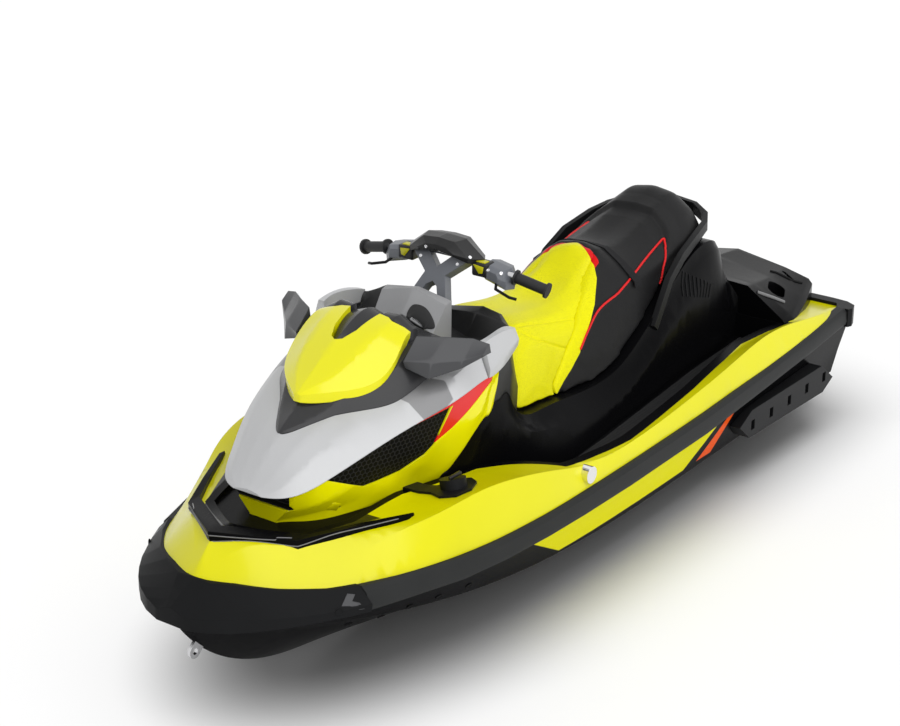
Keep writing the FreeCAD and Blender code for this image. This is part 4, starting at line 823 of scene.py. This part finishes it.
def slots_of_nodes():
    """The record's material slot for each node."""
    return {row["node"]: row["material_slot"] for row in frame["record"]["subparts"]}


class CRAFT_OT_finishes(bpy.types.Operator):
    """Make the materials and give each solid its own"""

    bl_idname = "craft.finishes"
    bl_label = "Finishes"

    def execute(self, context):
        finishes.update(make_finishes())
        for node, slot in slots_of_nodes().items():
            piece = frame["nodes"][node]
            piece.data.materials.clear()
            piece.data.materials.append(finishes[slot])
        return {"FINISHED"}


class CRAFT_OT_skins(bpy.types.Operator):
    """Lay a smooth skin over each rigid solid"""

    bl_idname = "craft.skins"
    bl_label = "Skins"

    def execute(self, context):
        for node, slot in slots_of_nodes().items():
            if node not in SEATS:
                skin(node, OWN_FINISH.get(node, slot))
        return {"FINISHED"}


# Padded seats
SEAT_VOXEL = {"seat_front": 8 * MM, "seat_rear": 9.5 * MM}
SEAT_SHRINK = 3 * MM
SWELL_MOST = 5 * MM
SWELL_FRAMES = 20
SWELL_PRESSURE = 4.0
SWELL_QUALITY = 4

SEAM_REACH, SEAM_DEPTH = 8 * MM, 5 * MM
FRONT_SEAMS = (
    ((1891, 154, 887), (1727, 162, 853), (1579, 172, 825), (1462, 200, 807)),
    ((1904, 163, 878), (1863, 190, 849), (1793, 211, 809), (1689, 216, 758), (1598, 225, 720)),
)

PIPING_RADIUS, PIPING_LIFT = 4.5 * MM, 1 * MM
PIPING_REACH, PIPING_DEPTH = 12 * MM, 3 * MM
REAR_PIPING = ((1585, 225, 720), (1520, 213, 766), (1451, 201, 808), (1407, 199, 826), (1367, 203, 838),
               (1317, 211, 852), (1264, 211, 872), (1175, 199, 895), (1080, 184, 917), (994, 175, 939),
               (931, 172, 957))
REAR_PIPING_END = ((931, 172, 957), (972, 207, 923), (1024, 235, 871), (1050, 245, 813))

# The line outside which the rear seat's bolster rises, and the place on the seat that it goes round.
BOLSTER = ((922, 176, 957), (900, 152, 980), (888, 110, 1011), (880, 66, 1024), (873, 0, 1034),
           (880, -66, 1024), (888, -110, 1011), (900, -152, 980), (922, -176, 957))
BOLSTER_CENTRE = spot(1080, 0, 940)
BOLSTER_RISE, BOLSTER_REACH, BOLSTER_EDGE = 9 * MM, 70 * MM, 12 * MM


def swollen(piece):
    """Blows a closed mesh up as padded cloth, moving no point further than the most."""
    start = [vertex.co.copy() for vertex in piece.data.vertices]
    cloth = piece.modifiers.new("cloth", "CLOTH")
    cloth.settings.quality = SWELL_QUALITY
    cloth.settings.use_pressure = True
    cloth.settings.uniform_pressure_force = SWELL_PRESSURE
    cloth.settings.effector_weights.gravity = 0.0
    for number in range(1, SWELL_FRAMES + 1):
        bpy.context.scene.frame_set(number)
    only(piece)
    bpy.ops.object.modifier_apply(modifier=cloth.name)
    bpy.context.scene.frame_set(1)
    for vertex, place in zip(piece.data.vertices, start):
        move = vertex.co - place
        if move.length > SWELL_MOST:
            vertex.co = place + move * (SWELL_MOST / move.length)


def beside(piece, line, reach):
    """The points of a mesh near a line, with the normal, the line's nearest place and the gap of each."""
    tree = KDTree(len(line))
    for number, place in enumerate(line):
        tree.insert(place, number)
    tree.balance()
    found = []
    for vertex in piece.data.vertices:
        near, number, gap = tree.find(vertex.co)
        if gap < reach:
            found.append((vertex, vertex.normal.copy(), near, gap))
    return found


def sunk(piece, line, reach, depth):
    """Sinks a mesh by up to a depth beside a line."""
    for vertex, normal, near, gap in beside(piece, line, reach):
        vertex.co -= normal * depth * (1 - (gap / reach) ** 2) ** 2


def bolstered(piece, line):
    """Raises a mesh outside the bolster's line and sinks it inside, fading over the reach."""
    for vertex, normal, near, gap in beside(piece, line, BOLSTER_REACH):
        outside = (vertex.co - BOLSTER_CENTRE).length - (near - BOLSTER_CENTRE).length
        if normal.z > 0.0:
            ramp = min(1.0, max(-1.0, outside / BOLSTER_EDGE))
            vertex.co += normal * BOLSTER_RISE * ramp * (1 - gap / BOLSTER_REACH)


def padded_seat(node, finish):
    """A vinyl cover over foam: remeshed, swollen as cloth and subdivided."""
    piece = copied(node, node + "_cover")
    applied(piece, "REMESH", mode="VOXEL", voxel_size=SEAT_VOXEL[node])
    applied(piece, "DISPLACE", strength=-SEAT_SHRINK, mid_level=0.0)
    applied(piece, "SMOOTH", factor=0.5, iterations=12)
    swollen(piece)
    applied(piece, "SMOOTH", factor=0.5, iterations=2)
    applied(piece, "SUBSURF", levels=1, render_levels=1)
    surfaces[node] = tree_of(piece)
    standing_for(piece, node, finish)
    return piece


def closed_up(piece):
    """Smooth shading with creases over the seat's angle."""
    smoothed(piece, SEAT_CREASE)


class CRAFT_OT_seats(bpy.types.Operator):
    """Pad the two seats, sew their seams and lay the piping"""

    bl_idname = "craft.seats"
    bl_label = "Seats"

    def execute(self, context):
        front = padded_seat("seat_front", "seat_yellow")
        for rows in FRONT_SEAMS:
            for end, side in SIDES:
                sunk(front, laid(side(*rows), "seat_front"), SEAM_REACH, SEAM_DEPTH)
        closed_up(front)
        rear = padded_seat("seat_rear", "seat_black")
        bolstered(rear, laid(spots(*BOLSTER), "seat_rear"))
        for rows in (REAR_PIPING, REAR_PIPING_END):
            for end, side in SIDES:
                sunk(rear, laid(side(*rows), "seat_rear"), PIPING_REACH, PIPING_DEPTH)
        closed_up(rear)
        surfaces["seat_rear"] = tree_of(rear)
        for name, rows in (("piping", REAR_PIPING), ("piping_end", REAR_PIPING_END)):
            for end, side in SIDES:
                line = laid(side(*rows), "seat_rear", PIPING_LIFT)
                bead(name + end, line, PIPING_RADIUS, "piping_red")
        return {"FINISHED"}


# Bow
CHINE_HOLES = ((2972, 254, 227), (2836, 279, 203), (2827, 392, 271), (2727, 432, 275), (2609, 466, 276))
GUARD_PLUG = (3188, 396, 412)
GUARD_NOTCH = ((3173, 392, 424), (3135, 385, 450), (3116, 401, 444), (3136, 405, 430), (3072, 439, 388))
NOTCH_HEIGHT = 1 * MM

# A small patch of the body's own paint, low on each side of it.
BODY_PATCH = ((2962, 170, 600), (2948, 186, 628), (2912, 187, 610), (2924, 175, 588))
PATCH_HEIGHT = 1 * MM

# Lines along the top and the foot of the splash wing, where grey beads are painted highlights on its edges.
WING_TOP = ((3322, 0, 613), (3278, 70, 607), (3235, 138, 602), (3176, 205, 601))
WING_FOOT = ((3318, 0, 588), (3264, 130, 587), (3222, 178, 585), (3170, 228, 580), (3069, 280, 594),
             (2970, 331, 596), (2870, 381, 598))
WING_RADIUS, WING_LIFT = 2 * MM, 0.5 * MM

# The ridge lies across the top of the fuel cap.
CAP_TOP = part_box("fuel_cap")[1][2]
CAP_PLACE = spot(2593, 398, 0)
CAP_RIDGE = Vector((CAP_PLACE.x, CAP_PLACE.y, CAP_TOP))
CAP_RIDGE_SIZE = (60, 12, 10)


class CRAFT_OT_bow(bpy.types.Operator):
    """Add the bow's drain holes, plugs, notches and patches, the grey beads along the splash wing that are
    painted highlights, and the ridge of the fuel cap
    """

    bl_idname = "craft.bow"
    bl_label = "Bow"

    def execute(self, context):
        hole = button("chine_holes", radius=13 * MM, height=2.5 * MM, socket=0.8)
        places = spots(*CHINE_HOLES) + mirrored(*CHINE_HOLES)
        scattered(hole, seats_on("hull", places), "liner_black")
        plug = button("guard_plugs", radius=13 * MM, height=1.5 * MM, socket=0.86)
        places = spots(GUARD_PLUG) + mirrored(GUARD_PLUG)
        scattered(plug, seats_on("bow_guard", places), "guard_dark")
        # Painted highlights: grey beads along the wing's top and foot edges.
        for name, rows in (("wing_top_highlight", WING_TOP), ("wing_foot_highlight", WING_FOOT)):
            for end, side in SIDES:
                line = laid(side(*rows), "splash_wing", WING_LIFT)
                bead(name + end, line, WING_RADIUS, "edge_grey")
        for end, side in SIDES:
            places = side(*BODY_PATCH)
            plate("body_patch" + end, places, PATCH_HEIGHT, "body_yellow", onto="front_body", cuts=1)
        block("fuel_cap_ridge", CAP_RIDGE, CAP_RIDGE_SIZE, "dash_black", "hull", bevel=2.5 * MM)
        for end, side in SIDES:
            places = side(*GUARD_NOTCH)
            plate("guard_notch" + end, places, NOTCH_HEIGHT, "notch_grey", onto="bow_guard", cuts=2)
        return {"FINISHED"}


# Handlebar and dash
SCREWS = (
    ("steering_yoke", ((2138, -77, 1170), (2138, 77, 1170))),
    ("bar_pad", ((2160, -39, 1216), (2130, 122, 1201))),
    ("bar_controls", ((2119, 189, 1166), (2109, 235, 1162))),
)

SWITCH_BLOCK = (2097, 155, 1160)
SWITCH_SIZE = (52, 62, 46)
SWITCH_PLATE = ((2116, 136, 1186), (2116, 174, 1186), (2090, 174, 1186), (2090, 136, 1186))
SWITCH_WEDGE = ((2126, 133, 1179), (2126, 175, 1175), (2126, 170, 1152), (2126, 156, 1150))
SWITCH_HEIGHT = 2.5 * MM

SCOOP = ((2348, 22, 1027), (2318, 24, 1065), (2308, 67, 1064), (2319, 108, 1037), (2336, 125, 1011),
         (2345, 75, 1005))
SCOOP_HEIGHT = 3 * MM


class CRAFT_OT_cockpit(bpy.types.Operator):
    """Add the screws and switches of the handlebar and the scoop of the gauge pod"""

    bl_idname = "craft.cockpit"
    bl_label = "Cockpit"

    def execute(self, context):
        for node, rows in SCREWS:
            screw = button(node + "_screws", radius=6 * MM, height=1.6 * MM, socket=0.45, sides=18)
            scattered(screw, seats_on(node, spots(*rows)), "screw_steel", "steering")
        for end, side in SIDES:
            centre = side(SWITCH_BLOCK)[0]
            block("switch_block" + end, centre, SWITCH_SIZE, "dash_black", "steering", bevel=7 * MM)
            for name, rows in (("switch_plate", SWITCH_PLATE), ("switch_wedge", SWITCH_WEDGE)):
                plate(name + end, side(*rows), SWITCH_HEIGHT, "button_yellow", "steering")
        rim = laid(spots(*SCOOP), "gauge_pod", closed=True)
        plate("pod_scoop", rim, SCOOP_HEIGHT, "dash_black", onto="gauge_pod", cuts=1)
        return {"FINISHED"}


# Sides
VENT_RIBS = 9
VENT_HIGH, VENT_LOW = ((963, 270, 854), (751, 290, 740)), ((981, 285, 757), (765, 292, 690))
VENT_NODES = ("side_panels", "footwell", "rear_platform")
RIB_RADIUS, RIB_LIFT = 3 * MM, 0.5 * MM


def between(ends, share):
    """The place at a share of the way from one end to the other."""
    return ends[0].lerp(ends[1], share)


class CRAFT_OT_sides(bpy.types.Operator):
    """Add the ribbed vents behind the seat"""

    bl_idname = "craft.sides"
    bl_label = "Side vents"

    def execute(self, context):
        for k in range(VENT_RIBS):
            share = (k + 0.5) / VENT_RIBS
            node = node_near(between(spots(*VENT_LOW), share), VENT_NODES)
            for end, side in SIDES:
                places = [between(side(*row), share) for row in (VENT_HIGH, VENT_LOW)]
                line = laid(places, node, RIB_LIFT, COARSE_STEP)
                bead("vent_rib_%d%s" % (k + 1, end), line, RIB_RADIUS, "trim_dark")
        return {"FINISHED"}


# Stern
TIE_BAR = ((453, 332, 628), (400, 368, 600), (349, 402, 570))
TIE_BAR_RADIUS = 8 * MM
# Black beads along the slots of the rear platform: painted shade for the slots' dark insides.
PLATFORM_SLOT = ((133, 221, 602), (118, 268, 588), (104, 315, 570), (78, 343, 559))
SLOT_RADIUS = 6 * MM


class CRAFT_OT_stern(bpy.types.Operator):
    """Add the tie bars, and black beads as painted shade in the slots of the rear platform"""

    bl_idname = "craft.stern"
    bl_label = "Stern"

    def execute(self, context):
        for end, side in SIDES:
            bead("tie_bar" + end, curved(side(*TIE_BAR), COARSE_STEP), TIE_BAR_RADIUS, "edge_grey")
            # Painted shade: a black bead stands for the dark inside of the slot.
            line = laid(side(*PLATFORM_SLOT), "rear_platform")
            bead("platform_slot_shade" + end, line, SLOT_RADIUS, "liner_black")
        return {"FINISHED"}


# Stage
FLOOR_SIZE = 120.0
FLOOR_GAP = 2 * MM
FLOOR_DARKER, FLOOR_LIGHTER = (0.89, 0.89, 0.89), (0.91, 0.91, 0.91)
WHITE = (1.0, 1.0, 1.0, 1.0)

# Each sun's place in the sky, strength, width in degrees, and whether it leaves the floor out or
# lights it alone.
SUNS = (
    ("key_sun", (0.25, 0.8, 0.9), 1.9, 70.0, "EXCLUDE"),
    ("floor_sun", (0.4, 0.0, 1.0), 2.45, 60.0, "INCLUDE"),
)


def pale_floor():
    """A plain pale floor just under the keel."""
    bpy.ops.object.select_all(action="DESELECT")
    bpy.ops.mesh.primitive_plane_add(size=FLOOR_SIZE, location=(0.0, 0.0, KEEL - FLOOR_GAP))
    floor = bpy.context.object
    floor.name = "floor"
    finish = Finish("floor_white")
    shade = finish.noise(lumps=0.6)
    finish.set(Base_Color=finish.mix(shade, FLOOR_DARKER, FLOOR_LIGHTER))
    finish.set(Roughness=shade * 0.05 + 0.9, Specular_IOR_Level=0.0)
    floor.data.materials.append(finish.material)
    return floor


def studio(scene, fill):
    """Even white light from all around, at full strength only where it is seen or mirrored."""
    world = bpy.data.worlds.new("studio")
    scene.world = world
    world.use_nodes = True
    nodes = world.node_tree.nodes
    links = world.node_tree.links
    path = nodes.new("ShaderNodeLightPath")
    seen = path.outputs["Is Camera Ray"]
    for ray in ("Is Glossy Ray", "Is Transmission Ray"):
        either = nodes.new("ShaderNodeMath")
        either.operation = "MAXIMUM"
        links.new(seen, either.inputs[0])
        links.new(path.outputs[ray], either.inputs[1])
        seen = either.outputs[0]
    strength = nodes.new("ShaderNodeMapRange")
    strength.inputs["To Min"].default_value = fill
    strength.inputs["To Max"].default_value = 1.0
    links.new(seen, strength.inputs["Value"])
    links.new(strength.outputs["Result"], nodes["Background"].inputs["Strength"])
    nodes["Background"].inputs["Color"].default_value = WHITE


def sun(floor, name, way, strength, width, state):
    """A soft sun from a direction, which leaves out the floor or lights it alone."""
    data = bpy.data.lights.new(name, "SUN")
    data.energy = strength
    data.angle = math.radians(width)
    lamp = bpy.data.objects.new(name, data)
    lamp.rotation_euler = (-Vector(way)).to_track_quat("-Z", "Y").to_euler()
    bpy.context.scene.collection.objects.link(lamp)
    reach = bpy.data.collections.new(name + "_reach")
    reach.objects.link(floor)
    lamp.light_linking.receiver_collection = reach
    reach.collection_objects[0].light_linking.link_state = state


def viewpoint(scene, lens, distance):
    """The camera at the photograph's viewing angle."""
    camera = bpy.data.objects.new("camera", bpy.data.cameras.new("camera"))
    camera.data.lens = lens
    camera.data.sensor_width = SENSOR
    camera.data.clip_end = CLIP_END
    flat = math.cos(ELEVATION)
    way = Vector((math.cos(AZIMUTH) * flat, math.sin(AZIMUTH) * flat, math.sin(ELEVATION)))
    camera.location = AIM + way * distance
    camera.rotation_euler = (-way).to_track_quat("-Z", "Y").to_euler()
    scene.collection.objects.link(camera)
    scene.camera = camera


class CRAFT_OT_stage(bpy.types.Operator):
    """Lay the floor and set the lights and the camera"""

    bl_idname = "craft.stage"
    bl_label = "Stage"

    def execute(self, context):
        scene = context.scene
        settings = scene.craft_stage
        scene.view_settings.view_transform = "Standard"
        floor = pale_floor()
        studio(scene, settings.fill)
        for row in SUNS:
            sun(floor, *row)
        viewpoint(scene, settings.lens, settings.distance)
        return {"FINISHED"}


class CRAFT_PT_panel(bpy.types.Panel):
    """Lists the steps that dress the craft, with their settings"""

    bl_label = "Watercraft"
    bl_idname = "CRAFT_PT_panel"
    bl_space_type = "VIEW_3D"
    bl_region_type = "UI"
    bl_category = "Watercraft"

    def draw(self, context):
        for step in STEPS:
            self.layout.operator(step.bl_idname)
        for settings in (context.scene.craft_colours, context.scene.craft_stage):
            for name in settings.__annotations__:
                self.layout.prop(settings, name)


STEPS = (CRAFT_OT_finishes, CRAFT_OT_skins, CRAFT_OT_seats, CRAFT_OT_bow, CRAFT_OT_cockpit,
         CRAFT_OT_sides, CRAFT_OT_stern, CRAFT_OT_stage)
CLASSES = (CraftColours, CraftStage) + STEPS + (CRAFT_PT_panel,)


def register():
    for item in CLASSES:
        bpy.utils.register_class(item)
    bpy.types.Scene.craft_colours = bpy.props.PointerProperty(type=CraftColours)
    bpy.types.Scene.craft_stage = bpy.props.PointerProperty(type=CraftStage)


def unregister():
    del bpy.types.Scene.craft_stage
    del bpy.types.Scene.craft_colours
    for item in reversed(CLASSES):
        bpy.utils.unregister_class(item)


def main():
    """Runs the steps in order."""
    register()
    bpy.ops.craft.finishes()
    bpy.ops.craft.skins()
    bpy.ops.craft.seats()
    bpy.ops.craft.bow()
    bpy.ops.craft.cockpit()
    bpy.ops.craft.sides()
    bpy.ops.craft.stern()
    bpy.ops.craft.stage()


if __name__ == "__main__":
    main()
